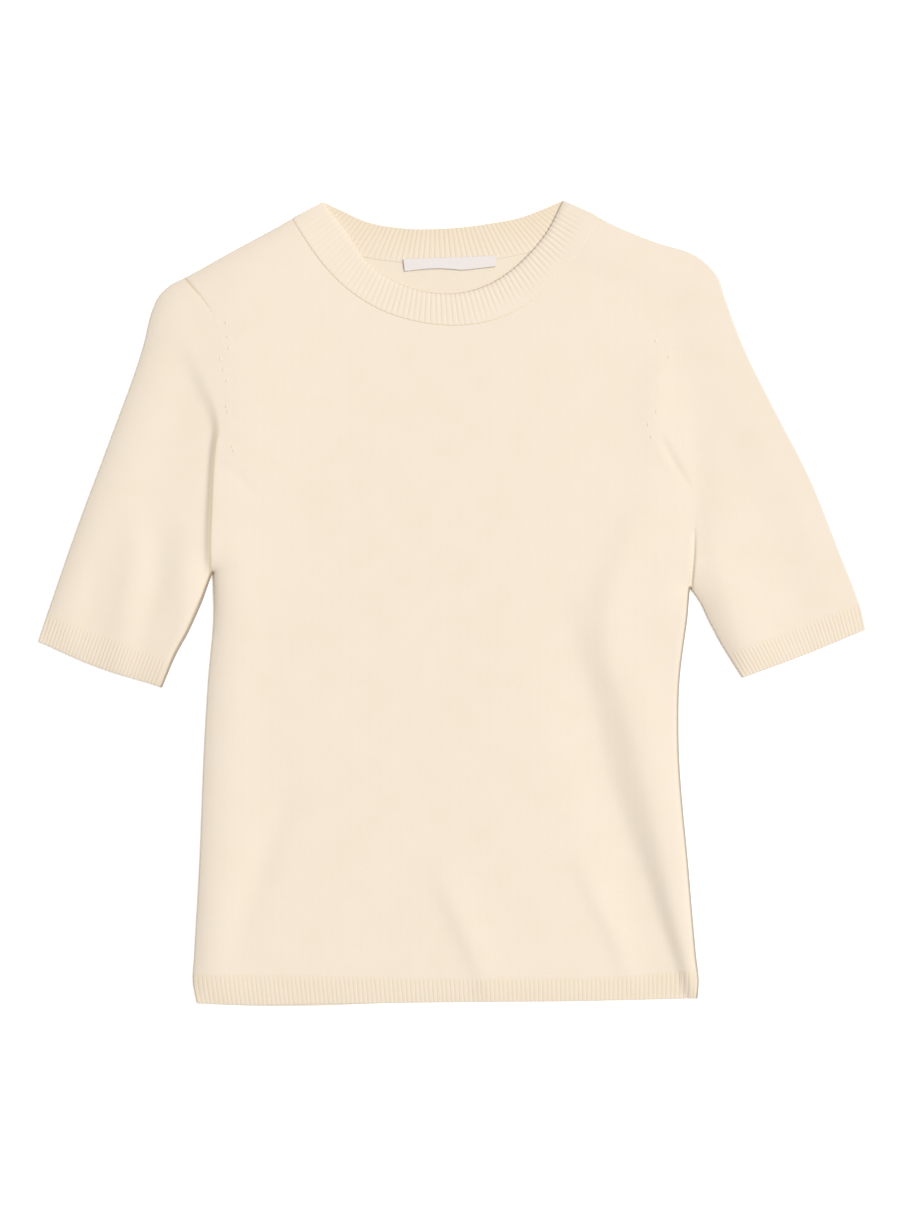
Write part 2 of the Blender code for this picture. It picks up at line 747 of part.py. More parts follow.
for old in list(bpy.data.objects):
    bpy.data.objects.remove(old)
collection = bpy.data.collections.new("knit_top")
bpy.context.scene.collection.children.link(collection)

jersey = material("jersey", YARN_COLOUR, WOOL_ROUGHNESS)
rib = material("rib", RIB_COLOUR, WOOL_ROUGHNESS)
satin = material("label_satin", SATIN_COLOUR, SATIN_ROUGHNESS)

neck_front, neck_back = smooth(NECK_SEAM_FRONT), smooth(NECK_SEAM_BACK)
right_over, (_, right_shoulder, right_outer) = chain(NECK_FOLD_RIGHT, SHOULDER_RIGHT, SLEEVE_RIGHT_OUTER)
right_inner, right_side = smooth(SLEEVE_RIGHT_INNER), smooth(SIDE_RIGHT)
right_armhole = smooth(ARMHOLE_RIGHT)
right_half = Half(
    side=right_side,
    inner=right_inner,
    outer=right_outer,
    shoulder=right_shoulder,
    over_front=folded(right_over, right_armhole[::-1], neck_front),
    over_back=folded(right_over, right_armhole[::-1], neck_back),
    underarm=folded(np.vstack([right_inner, right_side[1:]]), right_armhole),
    armhole=right_armhole,
    cuff_edge=smooth(CUFF_EDGE_RIGHT),
)
left_over, (left_outer, left_shoulder, _) = chain(SLEEVE_LEFT_OUTER, SHOULDER_LEFT, NECK_FOLD_LEFT)
left_side, left_inner = smooth(SIDE_LEFT), smooth(SLEEVE_LEFT_INNER)
left_armhole = smooth(ARMHOLE_LEFT)
left_half = Half(
    side=left_side,
    inner=left_inner,
    outer=left_outer,
    shoulder=left_shoulder,
    over_front=folded(left_over, left_armhole[::-1], neck_front[::-1]),
    over_back=folded(left_over, left_armhole[::-1], neck_back[::-1]),
    underarm=folded(np.vstack([left_side, left_inner[1:]]), left_armhole),
    armhole=left_armhole,
    cuff_edge=smooth(CUFF_EDGE_LEFT),
)
seam_ends = [at(upward(half.side), HEM_DEPTH) for half in (right_half, left_half)]
hem_seam = smooth((seam_ends[0], *HEM_SEAM, seam_ends[1]))

neck_seams = build_body(right_half, left_half, hem_seam, neck_front, neck_back, jersey)
build_sleeve("sleeve_right", right_half, -1, jersey)
build_sleeve("sleeve_left", left_half, 1, jersey)
build_hem(right_half, left_half, hem_seam, rib)
build_cuff("cuff_rib_right", right_half, -1, rib)
build_cuff("cuff_rib_left", left_half, 1, rib)
build_collar(neck_seams, right_half, left_half, rib)
build_label(satin)
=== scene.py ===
"""The looks of a fine-knit crew-neck top with short sleeves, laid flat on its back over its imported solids.

Sizes are millimetres in the garment's own axes, as on a knitter's pattern: x from the centre line, y up
from the hem, z up from the surface that the top lies on. Meshes are made in metres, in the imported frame.
"Right" and "left" in the pieces' names are the wearer's, so the right sleeve is at -X.

Every cloth piece is a closed wall on a net of columns and rows. The net is laid out in plan first, then a
height is given to each of its points: the lower layer is flat, the upper one lies on it with its folds, and
both turn round the soft folded edges of the outline.
"""

from __future__ import annotations

import logging
import math
from collections.abc import Iterable, Mapping, Sequence
from dataclasses import dataclass, field
from enum import Enum
from functools import cached_property
from typing import Any, NamedTuple

import bpy
import numpy as np
from numpy.typing import ArrayLike, NDArray
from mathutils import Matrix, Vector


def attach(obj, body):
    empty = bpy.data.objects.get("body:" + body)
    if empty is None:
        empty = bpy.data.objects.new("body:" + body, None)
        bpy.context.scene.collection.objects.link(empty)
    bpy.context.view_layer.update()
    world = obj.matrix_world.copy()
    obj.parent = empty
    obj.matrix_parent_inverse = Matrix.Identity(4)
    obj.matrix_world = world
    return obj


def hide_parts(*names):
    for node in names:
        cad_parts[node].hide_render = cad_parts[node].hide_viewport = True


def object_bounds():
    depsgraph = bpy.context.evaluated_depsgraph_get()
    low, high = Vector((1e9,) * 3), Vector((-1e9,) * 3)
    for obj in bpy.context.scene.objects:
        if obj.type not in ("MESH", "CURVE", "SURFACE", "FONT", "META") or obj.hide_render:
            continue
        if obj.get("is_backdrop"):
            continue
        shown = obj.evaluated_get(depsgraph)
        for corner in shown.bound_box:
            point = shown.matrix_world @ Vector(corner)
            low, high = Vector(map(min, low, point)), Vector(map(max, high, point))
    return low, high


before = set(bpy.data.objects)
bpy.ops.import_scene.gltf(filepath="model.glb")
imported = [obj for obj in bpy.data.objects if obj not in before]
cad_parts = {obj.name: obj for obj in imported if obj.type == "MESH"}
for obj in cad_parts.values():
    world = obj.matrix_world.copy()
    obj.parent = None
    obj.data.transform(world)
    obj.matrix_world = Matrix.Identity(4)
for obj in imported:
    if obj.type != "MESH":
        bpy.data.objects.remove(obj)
SOLIDS_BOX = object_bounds()

Floats = NDArray[np.float64]
Ints = NDArray[np.int64]

METRES = 0.001
LOG = logging.getLogger("knit_top")


class Point(NamedTuple):
    """A place in plan, in millimetres."""

    x: float
    y: float


Marks = tuple[Point, ...]


def marks(*places: tuple[float, float]) -> Marks:
    """The places marked along one line of the pattern, in its order."""
    return tuple(Point(x, y) for x, y in places)


def softened(share: Floats) -> Floats:
    """An even start and end between 0 and 1: three times the square, less twice the cube."""
    share = np.clip(share, 0.0, 1.0)
    return share * share * (3 - 2 * share)


def rounded(share: Floats) -> Floats:
    """A quarter circle's rise from 0 to 1: the root of 1 less the square of what is left of the share."""
    return np.sqrt(1 - (1 - np.clip(share, 0.0, 1.0)) ** 2)


class Ramp(NamedTuple):
    """A soft rise from 0 to 1: where it starts, and over what length."""

    start: float
    over: float

    def at(self, values: Floats) -> Floats:
        """How far up the ramp each value is."""
        return softened((values - self.start) / self.over)


class Side(Enum):
    """The wearer's sides, as the pieces' names have them."""

    RIGHT = "right"
    LEFT = "left"


class Slot(Enum):
    """The part's material slots."""

    JERSEY = "jersey"
    RIB = "rib"
    LABEL = "label_satin"


class Facing(Enum):
    """Which way a wall's outer face looks."""

    UP = 1
    DOWN = -1


class FoldShape(Enum):
    """A fold's section: a soft bell, or a crease with a line at its middle."""

    SOFT = 2.0
    CREASE = 1.0


class EdgeForm(Enum):
    """How the upper layer comes down to a folded edge."""

    ROUND = "round"
    SQUARE = "square"
    STEEP = "steep"

    def share(self, distance: Floats) -> Floats:
        """The share of its full height that the cloth has at each distance in from the edge.

        A round edge's is 1 less exp of minus the distance, and the others' 1 less exp of minus its square.
        A steep edge's wall is seen from above, and its cloth rises a little towards it.

        Args:
            distance: How far in from the edge, in millimetres.

        Returns:
            The shares.
        """
        if self is EdgeForm.ROUND:
            return 1 - np.exp(-distance / LOFT_EASE)
        if self is EdgeForm.SQUARE:
            return 1 - np.exp(-((distance / SQUARE_EASE) ** 2))
        lip = 1 + LIP * np.exp(-distance / LIP_EASE)
        return (1 - np.exp(-((distance / STEEP_EASE) ** 2))) * lip


class Fold(NamedTuple):
    """A ridge in the upper layer, or a trough where its height is negative.

    Each width is that side's, looking along the path: one for the whole path, or several at even distances
    along it.
    """

    height: float
    width_left: float | tuple[float, ...]
    width_right: float | tuple[float, ...]
    path: Marks
    shape: FoldShape = FoldShape.SOFT


class Tint(NamedTuple):
    """A crease's painted shade: its share of the painted shadow at the steep edges, its half width, and how
    it fades at each end.
    """

    share: float
    width: float
    start: float
    end: float


# The garment's measures. LAYER_TOP is the top of two layers with nothing between them but their pile.

MIDDLE_OF_OUTLINE = (4.4, 288.4)
WALL = 1.3
RIB_WALL = 1.8
LAYER_TOP = 2 * WALL + 0.3
HEM_DEPTH = 22.0
CUFF_DEPTH = 21.0

# The straight steps in each span of a line, and the power by which the sides' bends fade into a net
SPAN_STEPS = 16
SIDE_FADE = 3

# The air between the layers: how high it is, and over what length it opens from each form of folded edge
LOFT = 4.8
LOFT_EASE = 7.0
STEEP_EASE = 1.3
SQUARE_EASE = 0.7
LOFT_FALL = 1.5
LOFT_FALL_RAMP = Ramp(14.0, 32.0)
SWELL = 0.3
SWELL_WAVES = (37.0, 53.0)

# A steep edge's lip, and how far out its cloth is moved, within what reach and up to where along it
LIP = 0.13
LIP_EASE = 9.0
WIDEN = 1.3
WIDEN_REACH = 6.0
WIDEN_FADE = 25.0

# How far the air closes at the free edges and the neck, what the folds lose there, and over what length
CLOSING = 0.95
CLOSING_EASE = 12.0
NECK_CLOSING = 0.6
NECK_EASE = 24.0
FOLD_CLOSING = 0.25
FOLD_EASE = 2.5

# How softly the upper layer is kept off the lower one, in square millimetres
LIFT_BEND = 0.25

# The tight round at a folded edge, and how full a fold stays along its path and how many widths it reaches
EDGE_ROUND = 0.7
EDGE_STRETCH = 0.9
FOLD_FULLNESS = 0.7
FOLD_REACH = 3.2

# The painted shadow along the steep edges, and the painted shade in the first two creases
EDGE_SHADOW_WIDTH = 1.0
SHADED_CREASES = (Tint(0.45, 1.4, 20.0, 30.0), Tint(0.45, 0.9, 1.0, 35.0))

# A wall's rim where a seam covers it: its steps, and its bulge as a share of half the wall
SEAM_RIM_STEPS = 2
SEAM_RIM_BULGE = 0.1

# How far in from a folded edge or a seam a net has its columns or rows, before its even steps
FROM_EDGE = (0.06, 0.22, 0.5, 0.9, 1.4, 2.1, 3.4, 5.2, 7.4)
FROM_SEAM = (0.4, 0.9, 1.6, 2.6, 4.0)
FROM_NECK = (1.2,)

# The outline, anticlockwise from the hem's corner at the wearer's left
SIDE_LEFT = marks(
    (180.0, 3.2), (180.9, 13.7), (178.9, 34.6), (173.9, 92.2), (166.3, 193.0), (167.0, 231.1),
    (172.1, 272.2), (176.0, 298.8),
)
SLEEVE_LEFT_INNER = marks(
    (176.0, 298.8), (182.2, 290.2), (190.8, 272.9), (199.8, 256.3), (213.8, 234.0),
)
SLEEVE_LEFT_OUTER = marks(
    (302.4, 268.6), (300.6, 279.4), (296.3, 292.3), (285.8, 319.0), (262.8, 376.6), (233.3, 434.2),
    (212.4, 477.4), (200.9, 509.0), (196.0, 523.0), (182.2, 536.8),
)
SHOULDER_LEFT = marks((182.2, 536.8), (149.8, 548.4), (111.6, 565.2))
NECK_FOLD_LEFT = marks((111.6, 565.2), (98.4, 573.6), (83.6, 578.2))
NECK_FOLD_RIGHT = marks((-87.8, 577.2), (-97.0, 573.4), (-110.9, 564.8))
SHOULDER_RIGHT = marks((-110.9, 564.8), (-152.6, 541.9), (-188.6, 522.0))
SLEEVE_RIGHT_OUTER = marks(
    (-188.6, 522.0), (-198.0, 517.3), (-206.6, 509.0), (-212.0, 496.8), (-216.7, 477.4),
    (-241.9, 405.4), (-263.5, 347.8), (-286.2, 282.6), (-293.8, 260.3),
)
SLEEVE_RIGHT_INNER = marks(
    (-205.6, 227.5), (-195.5, 251.3), (-186.5, 267.8), (-176.4, 290.2), (-168.1, 309.6),
)
SIDE_RIGHT = marks(
    (-168.1, 309.6), (-167.3, 279.4), (-171.1, 232.6), (-173.5, 193.0), (-177.8, 92.2), (-181.1, 34.6),
    (-182.0, 13.7), (-179.3, -0.4),
)

# The bands' free edges, from -X to +X
HEM_EDGE = marks((-179.3, -0.4), (-159.1, -1.4), (-92.2, -0.9), (2.9, 0.4), (89.3, 1.1), (180.0, 3.2))
CUFF_EDGE_RIGHT = marks((-293.8, 260.3), (-253.4, 242.6), (-205.6, 227.5))
CUFF_EDGE_LEFT = marks((213.8, 234.0), (258.0, 250.3), (302.4, 268.6))
NECK_EDGE_FRONT = marks(
    (-87.8, 577.2), (-72.7, 558.7), (-59.4, 538.6), (-49.0, 528.1), (-33.1, 518.8), (-10.1, 512.3),
    (11.5, 512.4), (30.2, 518.0), (46.1, 527.8), (60.1, 540.7), (71.6, 555.1), (83.6, 578.2),
)
NECK_EDGE_BACK = marks(
    (-87.8, 577.2), (-74.9, 571.3), (-57.6, 563.5), (-31.7, 558.7), (0.0, 558.5), (28.8, 561.6),
    (54.7, 566.6), (72.0, 573.1), (83.6, 578.2),
)

# Seams inside the outline. The hem's runs between the side seams, whose ends it takes.
HEM_SEAM = marks((-105.1, 20.5), (-18.7, 18.7), (53.3, 18.7), (125.3, 19.8))
ARMHOLE_LEFT = marks(
    (176.0, 298.8), (178.6, 340.6), (176.4, 370.8), (169.2, 409.0), (166.3, 448.6), (168.5, 481.0),
    (174.2, 509.8), (182.2, 536.8),
)
ARMHOLE_RIGHT = marks(
    (-168.1, 309.6), (-167.8, 362.2), (-166.0, 391.7), (-162.4, 416.2), (-159.8, 448.6),
    (-161.3, 473.8), (-167.8, 495.4), (-188.6, 522.0),
)
NECK_SEAM_FRONT = marks(
    (-110.9, 564.8), (-101.5, 549.4), (-88.6, 531.5), (-70.6, 513.5), (-47.5, 499.0), (-18.7, 490.0),
    (8.6, 487.6), (37.2, 492.5), (61.7, 505.4), (82.8, 524.9), (98.6, 546.5), (111.6, 565.2),
)
NECK_SEAM_BACK = marks(
    (-110.9, 564.8), (-90.7, 547.2), (-59.0, 537.1), (-31.0, 533.1), (0.0, 532.1), (36.7, 535.7),
    (61.2, 540.7), (90.7, 550.8), (111.6, 565.2),
)

FOLDS = (
    Fold(  # the long fold's ridge, from the left armhole's side down to the hem's corner there
        height=3.8, width_left=(4.5, 5.0, 6.5, 12.0, 14.0, 14.0, 14.0, 14.0, 14.0), width_right=24.0,
        path=marks(
            (195.8, -69.8), (184.3, -19.4), (177.1, 13.0), (172.1, 34.6), (167.8, 52.6), (163.4, 74.2),
            (159.1, 99.4), (151.9, 131.8), (144.7, 160.6), (129.6, 218.2), (118.8, 252.7),
            (121.0, 295.9), (137.5, 340.6), (158.4, 380.9),
        ),
    ),
    Fold(  # the trough beside it, whose far side is steep
        height=-2.5, width_left=(44.0, 40.0, 26.0, 26.0, 26.0), width_right=(5.0, 6.0, 11.0, 12.0, 12.0),
        path=marks(
            (185.8, -77.0), (177.1, -19.4), (167.8, 13.0), (154.8, 52.6), (136.8, 103.0),
            (124.6, 131.8), (115.2, 160.6), (102.2, 218.2), (92.2, 250.6), (85.0, 275.8), (79.2, 308.2),
        ),
    ),
    Fold(  # a short ridge over the hem, near the middle
        height=1.8, width_left=8.0, width_right=14.0,
        path=marks((36.0, -5.0), (15.1, 49.0), (-8.6, 101.5)),
    ),
    Fold(  # a fainter one to its right
        height=1.6, width_left=7.0, width_right=12.0,
        path=marks((139.7, 2.2), (129.6, 27.4), (119.5, 52.6), (108.0, 75.6), (93.6, 110.2)),
    ),
    Fold(  # a faint trough near the right side seam
        height=-1.4, width_left=12.0, width_right=10.0,
        path=marks((-157.0, 20.2), (-146.2, 59.8), (-135.4, 88.6), (-123.1, 124.6), (-108.0, 171.4)),
    ),
    Fold(  # the front's cloth raised beside the left armhole
        height=1.4, width_left=10.0, width_right=13.0,
        path=marks((157.0, 470.2), (151.2, 441.4), (151.9, 411.1), (161.3, 389.5)),
    ),
    Fold(  # and the hollow over that armhole's seam
        height=-1.0, width_left=9.0, width_right=12.0,
        path=marks((177.1, 319.0), (180.7, 362.2), (180.0, 412.6), (174.2, 454.3)),
    ),
    Fold(  # the front's cloth raised beside the right armhole, and stepping down to the sleeve below it
        height=3.2, width_left=(3.2, 3.2, 3.2, 3.2, 3.0, 3.0, 6.2, 9.5, 13.0), width_right=45.0,
        path=marks(
            (-168.5, 261.4), (-169.2, 308.2), (-169.2, 333.4), (-168.1, 362.2), (-167.0, 383.8),
            (-165.6, 400.3), (-163.1, 414.7), (-164.9, 428.4), (-171.4, 445.0), (-180.0, 468.7),
            (-193.0, 490.3),
        ),
    ),
    Fold(  # the broad slope from the chest to the right shoulder
        height=2.0, width_left=34.0, width_right=60.0,
        path=marks((-129.6, 383.8), (-135.4, 434.2), (-141.1, 484.6), (-132.5, 533.5)),
    ),
    Fold(  # the right sleeve's ridge above its cuff
        height=2.2, width_left=12.0, width_right=13.0,
        path=marks((-237.6, 214.6), (-234.0, 257.8), (-227.5, 295.9), (-224.6, 326.2), (-221.8, 363.6)),
    ),
    Fold(  # the trough beside it
        height=-0.9, width_left=9.0, width_right=9.0,
        path=marks((-223.2, 225.4), (-215.3, 275.8), (-208.8, 297.4), (-208.1, 319.0), (-211.7, 353.5)),
    ),
    Fold(  # the ridge at that sleeve's underarm edge
        height=1.3, width_left=11.0, width_right=10.0,
        path=marks((-194.4, 218.2), (-188.6, 254.2), (-186.5, 283.0), (-186.5, 311.8), (-188.6, 356.4)),
    ),
    Fold(  # and the trough near its outer edge
        height=-0.8, width_left=9.0, width_right=9.0,
        path=marks((-263.5, 247.0), (-257.8, 275.8), (-254.9, 297.4), (-248.4, 329.8)),
    ),
    Fold(  # the left sleeve's broad ridge
        height=1.7, width_left=12.0, width_right=34.0,
        path=marks(
            (223.2, 203.8), (213.1, 261.4), (203.8, 290.2), (198.0, 315.4), (193.7, 340.6),
            (190.8, 372.2),
        ),
    ),
)

# Seams and sharp creases, too fine for the solids. The first two also get painted shade.
CREASES = (
    Fold(  # where the right sleeve presses against the body, under the arm
        height=-0.4, width_left=0.9, width_right=0.8,
        path=marks(
            (-169.2, 261.4), (-169.6, 308.2), (-169.6, 333.4), (-168.5, 362.2), (-167.4, 383.8),
            (-166.0, 400.3), (-163.8, 414.7), (-168.5, 428.4),
        ),
    ),
    Fold(  # the right armhole's seam, over the top of the sleeve
        height=-0.6, width_left=0.8, width_right=0.8,
        path=marks((-203.0, 542.2), (-188.6, 522.7), (-176.4, 508.3), (-165.6, 493.2)),
        shape=FoldShape.CREASE,
    ),
    Fold(  # where the left sleeve presses against the body
        height=-2.2, width_left=1.4, width_right=1.2,
        path=marks((175.7, 261.4), (176.3, 300.5), (177.8, 319.0), (178.9, 342.0)),
    ),
    Fold(  # the little crease that runs in from the right armhole
        height=-0.7, width_left=3.5, width_right=3.0,
        path=marks((-167.0, 389.5), (-158.4, 383.8), (-149.8, 378.7), (-138.2, 366.5)),
    ),
    Fold(  # the little crease that runs in from the left armhole
        height=-1.2, width_left=2.2, width_right=2.4,
        path=marks((175.7, 370.8), (169.9, 379.4), (162.0, 392.4), (152.6, 411.1)),
    ),
)

# Where the front was narrowed beside its armholes
NARROWINGS = marks(
    (-158.0, 489.2), (-156.6, 479.2), (-155.9, 471.1), (-162.0, 463.0), (-159.8, 455.3),
    (-157.3, 447.5), (-157.8, 429.1), (-156.6, 425.5), (-153.6, 400.3), (-152.3, 397.4), (150.8, 476.6),
    (160.2, 465.1), (151.2, 425.5), (145.4, 416.2), (147.6, 407.5),
)


# Lines and nets in plan


@dataclass(frozen=True)
class Path:
    """A line in plan, as a fine polyline."""

    points: Floats

    @classmethod
    def through(cls, *tables: Sequence[Point]) -> Path:
        """One smooth line through tables that share their ends: cubic spans with their neighbours' slopes.

        Args:
            tables: Known points, in order; each table starts where the one before it ends.

        Returns:
            The line, with SPAN_STEPS straight steps in each span.
        """
        known = np.array(tables[0] + tuple(point for table in tables[1:] for point in table[1:]), float)
        run = cls(known).run
        slope = np.gradient(known, run, axis=0)
        span = np.repeat(np.arange(len(known) - 1), SPAN_STEPS)
        share = np.tile(np.arange(SPAN_STEPS) / SPAN_STEPS, len(known) - 1)[:, None]
        length = (run[span + 1] - run[span])[:, None]
        curve = (
            (2 * share**3 - 3 * share**2 + 1) * known[span]
            + (share**3 - 2 * share**2 + share) * length * slope[span]
            + (3 * share**2 - 2 * share**3) * known[span + 1]
            + (share**3 - share**2) * length * slope[span + 1]
        )
        return cls(np.vstack([curve, known[-1]]))

    def stretch(self, first_span: int, spans: int) -> Path:
        """The part of a smooth line that those spans make."""
        return Path(self.points[first_span * SPAN_STEPS : (first_span + spans) * SPAN_STEPS + 1])

    @cached_property
    def run(self) -> Floats:
        """How far along the line each of its points is."""
        return np.concatenate([[0.0], np.cumsum(np.linalg.norm(np.diff(self.points, axis=0), axis=1))])

    @property
    def length(self) -> float:
        """The whole line's length."""
        return float(self.run[-1])

    def turned(self) -> Path:
        """The line from its other end."""
        return Path(self.points[::-1])

    def upward(self) -> Path:
        """The line from its lower end."""
        return self if self.points[0, 1] < self.points[-1, 1] else self.turned()

    def at(self, distance: ArrayLike) -> Floats:
        """The places that far along the line."""
        return np.stack([np.interp(distance, self.run, self.points[:, axis]) for axis in (0, 1)], axis=-1)

    def left(self, distance: ArrayLike) -> Floats:
        """The way straight off the line to its left: its heading there, turned by a quarter.

        Args:
            distance: How far along the line, once or in an array.

        Returns:
            A unit vector for each distance.
        """
        heading = np.gradient(self.points, self.run, axis=0)
        x, y = (np.interp(distance, self.run, heading[:, axis]) for axis in (0, 1))
        left = np.stack([-y, x], axis=-1)
        return left / np.linalg.norm(left, axis=-1, keepdims=True)

    def beside(self, distance: ArrayLike, offset: float) -> Floats:
        """The places that far along the line, moved to its left by the offset."""
        return self.at(distance) + offset * self.left(distance)

    def nearest(self, places: Floats, batch: int = 4096) -> tuple[Floats, Floats]:
        """Where the line is nearest to each place.

        Args:
            places: Places in plan, one a row.
            batch: How many places are worked out at once.

        Returns:
            Each place's distance from the line, and how far along the line its nearest point is.
        """
        step = np.diff(self.points, axis=0)
        gaps, alongs = [], []
        for first in range(0, len(places), batch):
            some = places[first : first + batch]
            offset = some[:, None] - self.points[None, :-1]
            share = np.clip((offset * step).sum(axis=-1) / (step**2).sum(axis=-1), 0.0, 1.0)
            gap = np.linalg.norm(offset - share[..., None] * step, axis=-1)
            best = gap.argmin(axis=1)
            rows = np.arange(len(some))
            gaps.append(gap[rows, best])
            alongs.append(self.run[best] + share[rows, best] * (self.run[best + 1] - self.run[best]))
        return np.concatenate(gaps), np.concatenate(alongs)


def graded(total: float, steps: int, start: Sequence[float] = (), end: Sequence[float] = ()) -> Floats:
    """Distances from 0 to total: those given near each end, and even steps between them.

    Args:
        total: The whole distance.
        steps: The even steps.
        start: Distances from the start, rising.
        end: Distances from the end, rising.

    Returns:
        The distances, rising.
    """
    even = np.linspace(start[-1] if start else 0.0, total - end[-1] if end else total, steps + 1)
    return np.unique(np.concatenate([[0.0], start, even, total - np.array(end), [total]]).round(6))


def net_between(
    foot: Floats, head: Floats, near: Floats, far: Floats, across: Floats, up: Floats
) -> Floats:
    """A net that fills four border lines: foot and head blended upwards, and the sides' bends fading in.

    Args:
        foot: The border with the first rows, a place for each column.
        head: The border with the last rows.
        near: The border with the first column, a place for each row.
        far: The border with the last column.
        across: Each column's share of the way across.
        up: Each row's share of the way up.

    Returns:
        Places in plan, as columns by rows by 2.
    """
    across, up = across[:, None, None], up[None, :, None]
    bend_near = near[None] - (1 - up) * near[0] - up * near[-1]
    bend_far = far[None] - (1 - up) * far[0] - up * far[-1]
    between = (1 - up) * foot[:, None] + up * head[:, None]
    return between + (1 - across) ** SIDE_FADE * bend_near + across**SIDE_FADE * bend_far


def band_net(seam: Path, free_edge: Path, across: Floats, down: Floats, inset: float) -> Floats:
    """A band's net: each column runs straight from its seam to its free edge, less an inset for the rim.

    Args:
        seam: The line that the band starts from.
        free_edge: The line that it ends at.
        across: Each column's share of both lines.
        down: Each row's distance from the seam's side, as a share of the band's depth.
        inset: How far short of the free edge the last row stays.

    Returns:
        Places in plan, as columns by rows by 2.
    """
    top, edge = seam.at(across * seam.length), free_edge.at(across * free_edge.length)
    way = edge - top
    edge = edge - inset * way / np.linalg.norm(way, axis=-1, keepdims=True)
    return top[:, None] + down[None, :, None] * (edge - top)[:, None]


# Heights


@dataclass(frozen=True)
class Layer:
    """One face of laid cloth on a net: its points, and the places they have on the flat knit."""

    points: Floats
    flat: Floats
    # how much painted shadow and shade each point has, along the steep edges and in the creases
    seam: Floats | None = None

    def round_to(self, below: Layer) -> Layer:
        """One face right round a flattened tube: along this layer, and back along the one below.

        Args:
            below: The layer below, on a net that shares this one's first and last columns.

        Returns:
            The face, whose columns run once round.
        """
        return Layer(
            np.concatenate([self.points, below.points[-2:0:-1]]),
            np.concatenate([self.flat, below.flat[-2:0:-1]]),
            np.concatenate([self.seam, below.seam[-2:0:-1]]),
        )


